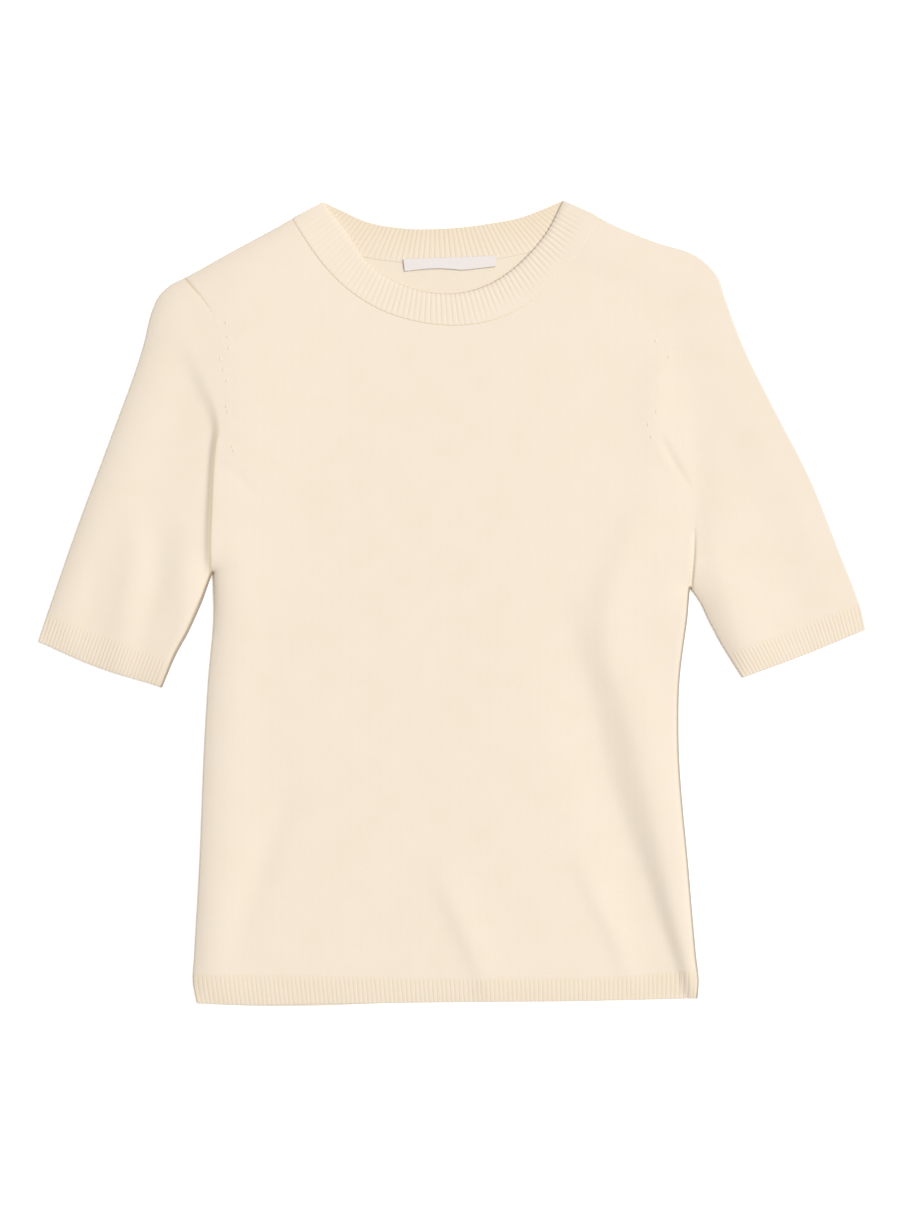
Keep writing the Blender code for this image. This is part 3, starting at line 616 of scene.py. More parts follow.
@dataclass(frozen=True)
class LaidForm:
    """How high the garment's two layers stand over any place in plan."""

    edges: tuple[tuple[Path, EdgeForm], ...]
    free_edges: tuple[Path, ...]
    neck_edge: Path
    folds: tuple[Fold, ...] = FOLDS
    creases: tuple[Fold, ...] = CREASES

    def inside(self, places: Floats) -> tuple[Floats, Floats]:
        """Where each place is inside the nearest folded edge.

        Args:
            places: Places in plan, one a row.

        Returns:
            Each place's depth inside that edge, and the unit way out to it.
        """
        gap = np.full(len(places), np.inf)
        out = np.zeros((len(places), 2))
        for edge, _ in self.edges:
            found, along = edge.nearest(places)
            closer = found < gap
            gap[closer] = found[closer]
            out[closer] = (edge.at(along) - places)[closer]
        return gap, out / np.maximum(np.linalg.norm(out, axis=-1, keepdims=True), 1e-6)

    def air(self, places: Floats, depth: Floats) -> Floats:
        """The gap between the layers: it opens from each folded edge by that edge's form, plus the folds.

        It closes again as exp of minus the distance from a free edge, and of minus its square at the neck.

        Args:
            places: Places in plan, one a row.
            depth: Each place's depth inside the nearest folded edge.

        Returns:
            The gap at each place.
        """
        x, y = places.T
        swell = SWELL * (np.sin(x / SWELL_WAVES[0]) + np.cos(y / SWELL_WAVES[1]))
        full = LOFT + swell - LOFT_FALL * LOFT_FALL_RAMP.at(depth)
        folded = sum(self.rise(places, fold) for fold in self.folds)
        from_free = np.min([edge.nearest(places)[0] for edge in self.free_edges], axis=0)
        closed = np.exp(-from_free / CLOSING_EASE)
        loose = full
        for form in EdgeForm:
            gaps = [edge.nearest(places)[0] for edge, its_form in self.edges if its_form is form]
            loose = loose * form.share(np.min(gaps, axis=0))
        at_neck = np.exp(-((self.neck_edge.nearest(places)[0] / NECK_EASE) ** 2))
        loose = loose * (1 - CLOSING * closed) * (1 - NECK_CLOSING * at_neck)
        return loose + folded * (1 - np.exp(-depth / FOLD_EASE)) * (1 - FOLD_CLOSING * closed)

    def rise(self, places: Floats, fold: Fold) -> Floats:
        """How much a fold adds: exp of minus (distance over width) to its shape's power, tapered along it.

        Args:
            places: Places in plan, one a row.
            fold: The fold.

        Returns:
            The height at each place, and 0 beyond the fold's reach.
        """
        path = Path.through(fold.path)
        reach = FOLD_REACH * max(np.max(fold.width_left), np.max(fold.width_right))
        low, high = path.points.min(axis=0) - reach, path.points.max(axis=0) + reach
        near = ((places > low) & (places < high)).all(axis=1)
        height = np.zeros(len(places))
        if near.any():
            some = places[near]
            gap, along = path.nearest(some)
            on_left = ((some - path.at(along)) * path.left(along)).sum(axis=-1) > 0
            share = along / path.length
            left, right = (
                np.interp(share, np.linspace(0.0, 1.0, np.size(width)), np.atleast_1d(width))
                for width in (fold.width_left, fold.width_right)
            )
            width = np.where(on_left, left, right)
            taper = np.sin(math.pi * np.clip(share, 0.0, 1.0)) ** FOLD_FULLNESS
            height[near] = fold.height * taper * np.exp(-((gap / width) ** fold.shape.value))
        return height

    def lift(self, places: Floats, depth: Floats) -> Floats:
        """How far the upper layer stands off the lower one, softly kept above nought."""
        lifted = self.air(places, depth) + sum(self.rise(places, crease) for crease in self.creases)
        return (lifted + np.sqrt(lifted**2 + LIFT_BEND)) / 2

    def widened(self, places: Floats) -> Floats:
        """Moves the cloth beside each steep edge out, so that the edge's wall slants and shows from above.

        Args:
            places: Places in plan.

        Returns:
            The places moved: wholly at the edge, softly less inside it, and not at the underarm.
        """
        moved = places.copy()
        for edge, form in self.edges:
            if form is EdgeForm.STEEP:
                gap, along = edge.nearest(places)
                near = softened(1 - gap / WIDEN_REACH) * softened((edge.length - along) / WIDEN_FADE)
                moved -= WIDEN * near[:, None] * edge.left(along)
        return moved

    def seam(self, places: Floats) -> Floats:
        """How much painted shade each place has, from 0 to 1.

        A dark painted shadow lies along the steep edges, where the side and underarm seams fold, and a
        lighter painted shade lies in the creases between the right sleeve and the body.

        Args:
            places: Places in plan.

        Returns:
            The shares.
        """
        shown = np.zeros(len(places))
        for edge, form in self.edges:
            if form is EdgeForm.STEEP:
                # painted shadow: full within one width of the steep edge, and gone at two
                away = Ramp(EDGE_SHADOW_WIDTH, EDGE_SHADOW_WIDTH).at(edge.nearest(places)[0])
                shown = np.maximum(shown, 1 - away)
        # painted shade along the first two creases, faded at their ends
        for crease, tint in zip(self.creases, SHADED_CREASES):
            line = Path.through(crease.path)
            gap, along = line.nearest(places)
            faded = softened(along / tint.start) * softened((line.length - along) / tint.end)
            shown = np.maximum(shown, tint.share * faded * np.exp(-((gap / tint.width) ** 2)))
        return shown

    def upper(self, plan: Floats, thicker: float = 0.0) -> Layer:
        """The upper layer's outer face: a quarter ellipse up from the folded edge, and the lift within it.

        Args:
            plan: A net in plan, as columns by rows by 2.
            thicker: How much higher it stands all over.

        Returns:
            The face on that net.
        """
        places = plan.reshape(-1, 2)
        depth, out = self.inside(places)
        start = LAYER_TOP / 2
        rise = LAYER_TOP + self.lift(places, depth) + thicker - start
        return self.face(plan, start + rise * rounded(depth / EDGE_ROUND), depth, out)

    def lower(self, plan: Floats) -> Layer:
        """The lower layer's outer face: a quarter circle down from the folded edge, and flat within it.

        Args:
            plan: A net in plan, as columns by rows by 2.

        Returns:
            The face on that net.
        """
        depth, out = self.inside(plan.reshape(-1, 2))
        return self.face(plan, LAYER_TOP / 2 * (1 - rounded(depth / EDGE_ROUND)), depth, out)

    def face(self, plan: Floats, height: Floats, depth: Floats, out: Floats) -> Layer:
        """A layer's face at known heights. Its flat knit goes on outwards where it turns round an edge.

        Args:
            plan: A net in plan, as columns by rows by 2.
            height: Each place's height, one a row, as are the next two.
            depth: Its depth inside the nearest folded edge.
            out: The unit way out to that edge.

        Returns:
            The face on that net.
        """
        places = plan.reshape(-1, 2)
        turned = (1 - np.minimum(depth / EDGE_ROUND, 1.0)) ** 2
        flat = places + EDGE_STRETCH * turned[:, None] * out
        points = np.column_stack([self.widened(places), height])
        # the painted shadow along the steep edges and the painted shade in the creases
        seam = self.seam(places).reshape(plan.shape[:2])
        return Layer(points.reshape(*plan.shape[:2], 3), flat.reshape(plan.shape), seam)


@dataclass(frozen=True)
class HalfPattern:
    """One half of the garment's pattern. Its lines run upwards, and the cuff's from the outer edge."""

    flank: Path
    inner: Path
    outer: Path
    shoulder: Path
    over: Path
    armhole: Path
    cuff_edge: Path

    @property
    def cuff_seam(self) -> Path:
        """The straight line between sleeve and cuff, from the outer edge to the underarm one."""
        return Path(np.stack([self.outer.at(CUFF_DEPTH), self.inner.at(CUFF_DEPTH)]))


@dataclass(frozen=True)
class Pattern:
    """The whole garment's lines in plan."""

    @cached_property
    def right(self) -> HalfPattern:
        """The wearer's right half.

        Returns:
            Its lines. The sleeve's outer edge and the shoulder are parts of one smooth line over both.
        """
        over = Path.through(NECK_FOLD_RIGHT, SHOULDER_RIGHT, SLEEVE_RIGHT_OUTER)
        folds, shoulder = len(NECK_FOLD_RIGHT) - 1, len(SHOULDER_RIGHT) - 1
        return HalfPattern(
            flank=Path.through(SIDE_RIGHT).upward(),
            inner=Path.through(SLEEVE_RIGHT_INNER).upward(),
            outer=over.stretch(folds + shoulder, len(SLEEVE_RIGHT_OUTER) - 1).upward(),
            shoulder=over.stretch(folds, shoulder).upward(),
            over=over,
            armhole=Path.through(ARMHOLE_RIGHT),
            cuff_edge=Path.through(CUFF_EDGE_RIGHT),
        )

    @cached_property
    def left(self) -> HalfPattern:
        """The wearer's left half.

        Returns:
            Its lines, as the right half's.
        """
        over = Path.through(SLEEVE_LEFT_OUTER, SHOULDER_LEFT, NECK_FOLD_LEFT)
        sleeve, shoulder = len(SLEEVE_LEFT_OUTER) - 1, len(SHOULDER_LEFT) - 1
        return HalfPattern(
            flank=Path.through(SIDE_LEFT).upward(),
            inner=Path.through(SLEEVE_LEFT_INNER).upward(),
            outer=over.stretch(0, sleeve).upward(),
            shoulder=over.stretch(sleeve, shoulder).upward(),
            over=over,
            armhole=Path.through(ARMHOLE_LEFT),
            cuff_edge=Path.through(CUFF_EDGE_LEFT).turned(),
        )

    def half(self, side: Side) -> HalfPattern:
        """That side's half."""
        return self.right if side is Side.RIGHT else self.left

    @cached_property
    def hem_seam(self) -> Path:
        """The line between the body and its hem band, from -X to +X."""
        ends = [Point(*half.flank.at(HEM_DEPTH)) for half in (self.right, self.left)]
        return Path.through((ends[0], *HEM_SEAM, ends[1]))

    @cached_property
    def form(self) -> LaidForm:
        """The heights over this pattern.

        Returns:
            The form, which knows how the cloth comes down to each folded edge.
        """
        free = (Path.through(HEM_EDGE), self.right.cuff_edge, self.left.cuff_edge)
        edges = (
            (self.right.over, EdgeForm.ROUND),
            (self.right.flank, EdgeForm.ROUND),
            (self.left.inner, EdgeForm.ROUND),
            (self.left.over, EdgeForm.SQUARE),
            (self.left.flank, EdgeForm.STEEP),
            (self.right.inner, EdgeForm.STEEP),
        )
        return LaidForm(edges, free, Path.through(NECK_EDGE_FRONT))


# Meshes


def unit(vectors: Floats) -> Floats:
    """Each vector over its own length."""
    return vectors / np.maximum(np.linalg.norm(vectors, axis=-1, keepdims=True), 1e-12)


def headings(points: Floats, axis: int, ring: bool) -> Floats:
    """The way along a net at each point: the mean of the unit ways from its last neighbour and to its next.

    Args:
        points: The net, as columns by rows by 3.
        axis: 0 for the way across the columns, 1 for the way along the rows.
        ring: Whether the last one's neighbour is the first one.

    Returns:
        A unit vector for each point.
    """
    after = unit(np.roll(points, -1, axis) - points)
    before = np.roll(after, 1, axis)
    if not ring:
        first = [slice(None)] * points.ndim
        last = list(first)
        first[axis], last[axis] = 0, -1
        before[tuple(first)] = after[tuple(first)]
        after[tuple(last)] = before[tuple(last)]
    return unit(after + before)


def quads(ids: Ints) -> Ints:
    """The quads between a grid of vertex numbers' neighbours."""
    return np.stack([ids[:-1, :-1], ids[1:, :-1], ids[1:, 1:], ids[:-1, 1:]], axis=-1).reshape(-1, 4)


def place_in_frame(points: Floats) -> Floats:
    """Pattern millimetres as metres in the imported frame, whose origin is under the outline's middle."""
    return (points - np.array([*MIDDLE_OF_OUTLINE, 0.0])) * METRES


@dataclass
class MeshDraft:
    """A mesh as arrays, before Blender has it. Its faces are quads."""

    points: Floats
    faces: Ints
    flat: Floats
    slots: Ints | None = None
    tints: Mapping[str, Floats] = field(default_factory=dict)
    sharp_degrees: float = 55.0

    def outward(self) -> None:
        """Turns the faces over if the volume inside them, summed as signed corners, comes out negative."""
        corners = self.points[self.faces]
        volume = sum(np.linalg.det(corners[:, pick]).sum() for pick in ([0, 1, 2], [0, 2, 3]))
        if volume < 0:
            self.faces = self.faces[:, ::-1]
            self.flat = self.flat[:, ::-1]

    def made(self, name: str, finishes: Sequence[bpy.types.Material]) -> bpy.types.Object:
        """The mesh as an object.

        Args:
            name: The object's name.
            finishes: Its materials, in the order that the slots count.

        Returns:
            The object, at the origin, in the scene's collection.
        """
        mesh = bpy.data.meshes.new(name)
        mesh.from_pydata(place_in_frame(self.points).tolist(), [], self.faces.tolist())
        uv = mesh.uv_layers.new(name="knit")
        uv.data.foreach_set("uv", (self.flat * METRES).astype(np.float32).ravel())
        for tint, shares in self.tints.items():
            attribute = mesh.attributes.new(tint, "FLOAT", "POINT")
            attribute.data.foreach_set("value", shares.astype(np.float32))
        for finish in finishes:
            mesh.materials.append(finish)
        if self.slots is not None:
            mesh.polygons.foreach_set("material_index", self.slots.astype(np.int32))
        mesh.shade_smooth()
        mesh.set_sharp_from_angle(angle=math.radians(self.sharp_degrees))
        mesh.update()
        made = bpy.data.objects.new(name, mesh)
        bpy.context.scene.collection.objects.link(made)
        return made


@dataclass
class ClothWall:
    """A closed wall of cloth on a net of columns and rows, with a half-round rim along its last row.

    Each column's section runs along the outer face, round the rim and back along the inner face. The inner
    face is the plain outer one moved inwards by the thickness.
    """

    plain: Layer
    thickness: float
    ring: bool = False
    facing: Facing = Facing.UP
    relief: Floats | None = None
    inner_relief: Floats | None = None
    rim_steps: int = 4
    rim_bulge: float = 1.0
    flat_step: Floats | None = None

    @cached_property
    def normals(self) -> Floats:
        """The ways out of the plain face: square to the columns' and the rows' headings.

        Returns:
            A unit vector for each point, on the side that the wall faces.
        """
        points = self.plain.points
        normals = unit(np.cross(headings(points, 0, self.ring), headings(points, 1, False)))
        upper_half = normals[: len(normals) // 2, :, 2].mean()
        return normals * (1 if upper_half * self.facing.value > 0 else -1)

    @cached_property
    def outer(self) -> Floats:
        """The outer face with its relief."""
        relief = 0.0 if self.relief is None else self.relief[..., None]
        return self.plain.points + relief * self.normals

    @cached_property
    def inner(self) -> Floats:
        """The inner face with its relief, which stands inwards."""
        relief = 0.0 if self.inner_relief is None else self.inner_relief[..., None]
        return self.plain.points - (self.thickness + relief) * self.normals

    def rim(self) -> Floats:
        """The rim: from the outer face's last row to the inner one's by cosine, and on outwards by sine.

        Returns:
            Its points, as columns by rim steps by 3.
        """
        top, bottom = self.outer[:, -1], self.inner[:, -1]
        middle, half = (top + bottom) / 2, (top - bottom) / 2
        onward = unit(self.plain.points[:, -1] - self.plain.points[:, -2])
        onward = onward * self.rim_bulge * np.linalg.norm(half, axis=-1, keepdims=True)
        angle = np.linspace(0.0, math.pi, self.rim_steps + 2)[None, 1:-1, None]
        return middle[:, None] + np.cos(angle) * half[:, None] + np.sin(angle) * onward[:, None]

    def draft(self, painted_shade_and_tone: Floats | None = None) -> MeshDraft:
        """The whole wall as a closed mesh.

        Args:
            painted_shade_and_tone: How far each point of the outer face turns towards the shade colour, from
                0 to 1: painted shade in the rib furrows and along the neck seam, and a darker tone over some
                bands.

        Returns:
            The mesh, with slot 0 on its outer face and slot 1 on its inner one.
        """
        columns, rows = self.outer.shape[:2]
        rim = self.rim()
        section = np.concatenate([self.outer, rim, self.inner[:, ::-1]], axis=1)
        length = section.shape[1]
        ids = np.arange(columns * length).reshape(columns, length)
        last_flat = self.plain.flat[:, -1:]
        onward = np.linspace(0.0, math.pi * self.thickness / 2, self.rim_steps + 2)[None, 1:-1, None]
        rim_flat = last_flat + onward * unit(last_flat - self.plain.flat[:, -2:-1])
        flat = np.concatenate([self.plain.flat, rim_flat, self.plain.flat[:, ::-1]], axis=1)
        if self.ring:
            ids = np.vstack([ids, ids[:1]])
            closing = flat[:1] if self.flat_step is None else flat[:1] + self.flat_step
            flat = np.concatenate([flat, closing])
        ids = np.hstack([ids, ids[:, :1]])
        flat = np.concatenate([flat, flat[:, :1]], axis=1)
        order = np.arange(ids.size).reshape(ids.shape)
        faces, flat_of_faces = quads(ids), flat.reshape(-1, 2)[quads(order)]
        row = np.tile(np.arange(length), ids.shape[0] - 1)
        slots = (row >= rows + self.rim_steps - 1).astype(int)
        if not self.ring:
            caps, flat_caps = zip(*(self.cap(ids[end], flat[end], end) for end in (0, -1)))
            faces = np.concatenate([faces, *caps])
            flat_of_faces = np.concatenate([flat_of_faces, *flat_caps])
            slots = np.concatenate([slots, np.zeros(sum(len(cap) for cap in caps), int)])
        empty = np.zeros((columns, self.rim_steps))
        painted_shade_and_tone = np.zeros((columns, rows)) if painted_shade_and_tone is None else painted_shade_and_tone
        seam = np.zeros((columns, rows)) if self.plain.seam is None else self.plain.seam
        behind = painted_shade_and_tone[:, ::-1] if self.inner_relief is not None else np.zeros((columns, rows))
        # painted shade and tone on the outer face, mirrored onto a ribbed inner face, and the painted shadow
        # along the steep edges and creases
        tints = {
            "painted_shade_and_tone": np.concatenate([painted_shade_and_tone, empty, behind], axis=1).ravel(),
            "seam": np.concatenate([seam, empty + seam[:, -1:], seam[:, ::-1]], axis=1).ravel(),
        }
        made = MeshDraft(section.reshape(-1, 3), faces, flat_of_faces, slots, tints)
        made.outward()
        return made

    def cap(self, ids: Ints, flat: Floats, end: int) -> tuple[Ints, Floats]:
        """The quads that close the wall's section at its first or last column.

        Args:
            ids: The vertex numbers round that column's section, whose last is its first.
            flat: Their places on the flat knit.
            end: 0 for the first column, -1 for the last.

        Returns:
            The quads, and their corners' places on the flat knit.
        """
        half = (len(ids) - 1) // 2
        first, second = np.arange(half), len(ids) - 2 - np.arange(half)
        pick = np.stack([first[:-1], first[1:], second[1:], second[:-1]], axis=-1)
        pick = pick if end == 0 else pick[:, ::-1]
        return ids[pick], flat[pick]


# Finishes


@dataclass(frozen=True)
class Wire:
    """A socket in a node tree. Arithmetic on it adds Math nodes."""

    sheet: NodeSheet
    socket: bpy.types.NodeSocket

    def math(self, operation: str, *others: Wire | float, clamp: bool = False) -> Wire:
        """A Math node on this value and the others."""
        values = dict(enumerate((self, *others)))
        return self.sheet.node("ShaderNodeMath", {"operation": operation, "use_clamp": clamp}, values)

    def __add__(self, other: Wire | float) -> Wire:
        """This and the other."""
        return self.math("ADD", other)

    __radd__ = __add__

    def __sub__(self, other: Wire | float) -> Wire:
        """This less the other."""
        return self.math("SUBTRACT", other)

    def __rsub__(self, other: float) -> Wire:
        """The other less this."""
        return (self * -1.0) + other

    def __mul__(self, other: Wire | float) -> Wire:
        """This times the other."""
        return self.math("MULTIPLY", other)

    __rmul__ = __mul__

    def __truediv__(self, other: Wire | float) -> Wire:
        """This over the other."""
        return self.math("DIVIDE", other)

    def __pow__(self, other: float) -> Wire:
        """This to that power."""
        return self.math("POWER", other)

    def __abs__(self) -> Wire:
        """This without its sign."""
        return self.math("ABSOLUTE")

    def output(self, number: int) -> Wire:
        """Another output of the same node."""
        return Wire(self.sheet, self.socket.node.outputs[number])

    def centred(self) -> Wire:
        """This colour less a half all over, as a way to move a pattern by."""
        values = {0: self, 1: (0.5, 0.5, 0.5)}
        return self.sheet.node("ShaderNodeVectorMath", {"operation": "SUBTRACT"}, values)

    def fraction(self) -> Wire:
        """What is left of this above a whole number."""
        return self.math("FRACT")

    def sine(self) -> Wire:
        """This angle's sine."""
        return self.math("SINE")


class Speckle(NamedTuple):
    """Noise over cloth: its lumps to a metre, its finer layers, and its share of what it changes."""

    scale: float
    detail: float
    share: float


class NodeSheet:
    """A material's node tree, cleared."""

    def __init__(self, material: bpy.types.Material) -> None:
        """Takes a material's tree over.

        Args:
            material: The material.
        """
        material.use_nodes = True
        self.tree = material.node_tree
        self.tree.nodes.clear()

    def node(
        self,
        kind: str,
        settings: Mapping[str, Any] | None = None,
        values: Mapping[int | str, Wire | float | Sequence[float]] | None = None,
        output: int | str = 0,
    ) -> Wire:
        """Adds a node, sets it, and feeds its sockets.

        Args:
            kind: The node's type.
            settings: The node's own settings, set before its sockets.
            values: For each input socket, by number or name, its value or what feeds it.
            output: The output socket that is wanted.

        Returns:
            That output.
        """
        made = self.tree.nodes.new(kind)
        for setting, value in (settings or {}).items():
            setattr(made, setting, value)
        for name, value in (values or {}).items():
            if isinstance(value, Wire):
                self.tree.links.new(value.socket, made.inputs[name])
            else:
                made.inputs[name].default_value = value
        return Wire(self, made.outputs[output])

    def surface(self, shader: Wire) -> None:
        """Gives the material that shader."""
        output = self.tree.nodes.new("ShaderNodeOutputMaterial")
        self.tree.links.new(shader.socket, output.inputs["Surface"])

    def noise(self, place: Wire, speckle: Speckle) -> Wire:
        """That speckle's noise, about 0.5."""
        values = {"Vector": place, "Scale": speckle.scale, "Detail": speckle.detail}
        return self.node("ShaderNodeTexNoise", {}, values)

    def mix(self, share: Wire, first: Wire | Sequence[float], second: Sequence[float]) -> Wire:
        """The first colour turning into the second as the share rises from 0 to 1."""
        return self.node("ShaderNodeMix", {"data_type": "RGBA"}, {0: share, 6: first, 7: second}, output=2)


@dataclass(frozen=True)
class Colour:
    """A colour in scene light, from 0 to 1."""

    red: float
    green: float
    blue: float

    @property
    def rgba(self) -> tuple[float, float, float, float]:
        """The colour as a socket takes it."""
        return (self.red, self.green, self.blue, 1.0)


@dataclass(frozen=True)
class KnitFinish:
    """Soft wool in V-shaped stitches. Its pattern lies on the piece's own flat-knit UV map.

    A wale is a column of stitches and a course a row of them, both in metres. The relief is in millimetres.
    """

    name: str
    colour: Colour
    shade: Colour
    wale: float
    course: float
    relief: float
    # the dark brown of the painted shadow along the steep edges and in the creases
    seam: Colour = Colour(0.36, 0.28, 0.2)
    purl: bool = False
    roughness: float = 0.92
    sheen: float = 0.25
    sheen_roughness: float = 0.55
    sheen_tint: Colour = Colour(1.0, 0.97, 0.92)
    specular: float = 0.2
    wander: Speckle = Speckle(900.0, 1.0, 0.0005)
    fibres: Speckle = Speckle(2600.0, 3.0, 0.55)
    lumps: Speckle = Speckle(420.0, 2.0, 0.5)
    heather: Speckle = Speckle(1500.0, 2.0, 0.5)
    cloud: Speckle = Speckle(45.0, 2.0, 0.35)
    leg_power: float = 0.6
    knit_slant: float = 0.75
    knit_shape: tuple[float, float] = (0.55, 0.45)
    purl_slant: float = 0.15
    purl_shape: tuple[float, float] = (0.8, 0.2)
    stitch_relief: float = 0.75
    stitch_shade: float = 0.22
    # how much that painted shadow also turns the wool towards the shade colour
    seam_shade: float = 2.0

    def stitches(self, sheet: NodeSheet, place: Wire) -> Wire:
        """The stitches' height, from 0 to 1.

        Across a wale, a sine for each leg of its V. Along it, a parabola for each stitch, starting later
        the further the leg is from the wale's middle. On the purl side, rows of bumps, with little V.

        Args:
            sheet: The material's nodes.
            place: The place on the flat knit.

        Returns:
            The height.
        """
        parts = sheet.node("ShaderNodeSeparateXYZ", {}, {0: place})
        along = parts.output(1) / self.course
        leg = abs((parts / self.wale).fraction() - 0.5) * 2.0
        slant = leg * (self.purl_slant if self.purl else self.knit_slant)
        stitch = (along - slant).fraction() * 2.0 - 1.0
        plump = 1.0 - stitch * stitch
        across = (leg * math.pi).sine() ** self.leg_power
        bump, base = self.purl_shape if self.purl else self.knit_shape
        return plump * bump + across * base if self.purl else across * (plump * bump + base)

    def made(self) -> bpy.types.Material:
        """Makes the material: stitches and loose fibres as bump, painted shade between stitches and from the
        mesh, and mottled.

        Returns:
            The material.
        """
        material = bpy.data.materials.new(self.name)
        sheet = NodeSheet(material)
        place = sheet.node("ShaderNodeTexCoord", {}, {}, output="UV")
        around = sheet.node("ShaderNodeTexCoord", {}, {}, output="Object")
        wander = sheet.noise(around, self.wander).output(1).centred()
        shift = {0: wander, "Scale": self.wander.share}
        drift = sheet.node("ShaderNodeVectorMath", {"operation": "SCALE"}, shift)
        bent = sheet.node("ShaderNodeVectorMath", {"operation": "ADD"}, {0: place, 1: drift})
        height = self.stitches(sheet, bent)
        fibres = sheet.noise(around, self.fibres)
        lumps = sheet.noise(around, self.lumps)
        relief = height * self.stitch_relief + fibres * self.fibres.share + lumps * self.lumps.share
        bump = sheet.node(
            "ShaderNodeBump", {}, {"Strength": 1.0, "Distance": self.relief * METRES, "Height": relief}
        )
        heather = sheet.noise(around, self.heather)
        cloud = sheet.noise(around, self.cloud)
        mottle = (heather - 0.5) * self.heather.share
        dark = (1.0 - height) * self.stitch_shade + mottle + (cloud - 0.5) * self.cloud.share
        # the mesh's painted shade and tone, and its painted shadow along the steep edges and in the creases
        painted_shade_and_tone, seam = (
            sheet.node("ShaderNodeAttribute", {"attribute_name": name}, {}, output="Fac")
            for name in ("painted_shade_and_tone", "seam")
        )
        # painted shade between the stitches' legs, the random mottle and cloud, and the mesh's painted shade
        # and tone turn the wool towards the shade colour; the painted shadow also mixes in its dark brown
        deep = (dark + painted_shade_and_tone + seam * self.seam_shade).math("ADD", 0.0, clamp=True)
        colour = sheet.mix(seam * seam, sheet.mix(deep, self.colour.rgba, self.shade.rgba), self.seam.rgba)
        shader = sheet.node(
            "ShaderNodeBsdfPrincipled",
            {},
            {
                "Base Color": colour,
                "Roughness": self.roughness,
                "Sheen Weight": self.sheen,
                "Sheen Roughness": self.sheen_roughness,
                "Sheen Tint": self.sheen_tint.rgba,
                "Specular IOR Level": self.specular,
                "Normal": bump,
            },
        )
        sheet.surface(shader)
        return material


@dataclass(frozen=True)
class SatinFinish:
    """Woven satin: a close weave with a soft gloss. Its threads' spacing and relief are in millimetres."""

    name: str
    colour: Colour
    threads: float = 0.28
    relief: float = 0.05
    strength: float = 0.5
    sheen: float = 0.1
    roughness: float = 0.38
    unevenness: Speckle = Speckle(900.0, 2.0, 0.2)

    def made(self) -> bpy.types.Material:
        """Makes the material: fine threads both ways as bump, a sine each, and a slightly uneven gloss.

        Returns:
            The material.
        """
        material = bpy.data.materials.new(self.name)
        sheet = NodeSheet(material)
        place = sheet.node("ShaderNodeTexCoord", {}, {}, output="UV")
        parts = sheet.node("ShaderNodeSeparateXYZ", {}, {0: place})
        turn = 2 * math.pi / (self.threads * METRES)
        weave = (parts * turn).sine() * 0.5 + (parts.output(1) * turn * 0.5).sine() * 0.5
        bump = sheet.node(
            "ShaderNodeBump",
            {},
            {"Strength": self.strength, "Distance": self.relief * METRES, "Height": weave},
        )
        gloss = sheet.noise(place, self.unevenness) * self.unevenness.share + self.roughness
        shader = sheet.node(
            "ShaderNodeBsdfPrincipled",
            {},
            {
                "Base Color": self.colour.rgba,
                "Roughness": gloss,
                "Sheen Weight": self.sheen,
                "Normal": bump,
            },
        )
        sheet.surface(shader)
        return material


@dataclass
class Wardrobe:
    """The finishes that the pieces share."""

    wool: Colour = Colour(0.78, 0.681, 0.563)
    # the darker, yellower wool that the painted shade turns towards, and the random mottle too
    wool_shade: Colour = Colour(0.715, 0.595, 0.425)
    wool_inside: Colour = Colour(0.757, 0.661, 0.532)
    label: Colour = Colour(0.70, 0.645, 0.615)
    plain_stitch: tuple[float, float] = (0.0016, 0.00125)
    rib_stitch: tuple[float, float] = (0.003, 0.0017)

    @cached_property
    def jersey(self) -> bpy.types.Material:
        """The plain knit's right side."""
        return KnitFinish("jersey_wool", self.wool, self.wool_shade, *self.plain_stitch, relief=0.08).made()

    @cached_property
    def purl(self) -> bpy.types.Material:
        """The plain knit's wrong side, seen inside the neck."""
        colours = (self.wool_inside, self.wool_shade)
        return KnitFinish("purl_wool", *colours, *self.plain_stitch, relief=0.06, purl=True).made()

    @cached_property
    def rib(self) -> bpy.types.Material:
        """The ribbed bands' knit, with one wale to a rib."""
        return KnitFinish("rib_wool", self.wool, self.wool_shade, *self.rib_stitch, relief=0.07).made()

    @cached_property
    def satin(self) -> bpy.types.Material:
        """The label's cloth."""
        return SatinFinish("label_satin", self.label).made()


# The pieces


@dataclass
class Piece:
    """A piece of the garment: the solid that it stands for, its slot, and its cut as flat cloth."""

    name: str
    node: str
    slot: Slot
    cut: tuple[float, float]
    cut_area: float
    rests_on: tuple[str, ...] = ()

    def finished(
        self, wall: ClothWall, finishes: Sequence[bpy.types.Material], painted_shade_and_tone: Floats | None = None
    ) -> bpy.types.Object:
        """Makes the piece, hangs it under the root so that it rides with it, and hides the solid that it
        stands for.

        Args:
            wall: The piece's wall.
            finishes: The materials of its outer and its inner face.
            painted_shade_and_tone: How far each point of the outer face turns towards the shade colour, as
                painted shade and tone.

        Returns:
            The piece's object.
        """
        made = wall.draft(painted_shade_and_tone).made(self.name, finishes)
        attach(made, "root")
        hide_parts(self.node)
        list(self.rests_on)
        LOG.info("%s: %d faces", made.name, len(made.data.polygons))
        return made


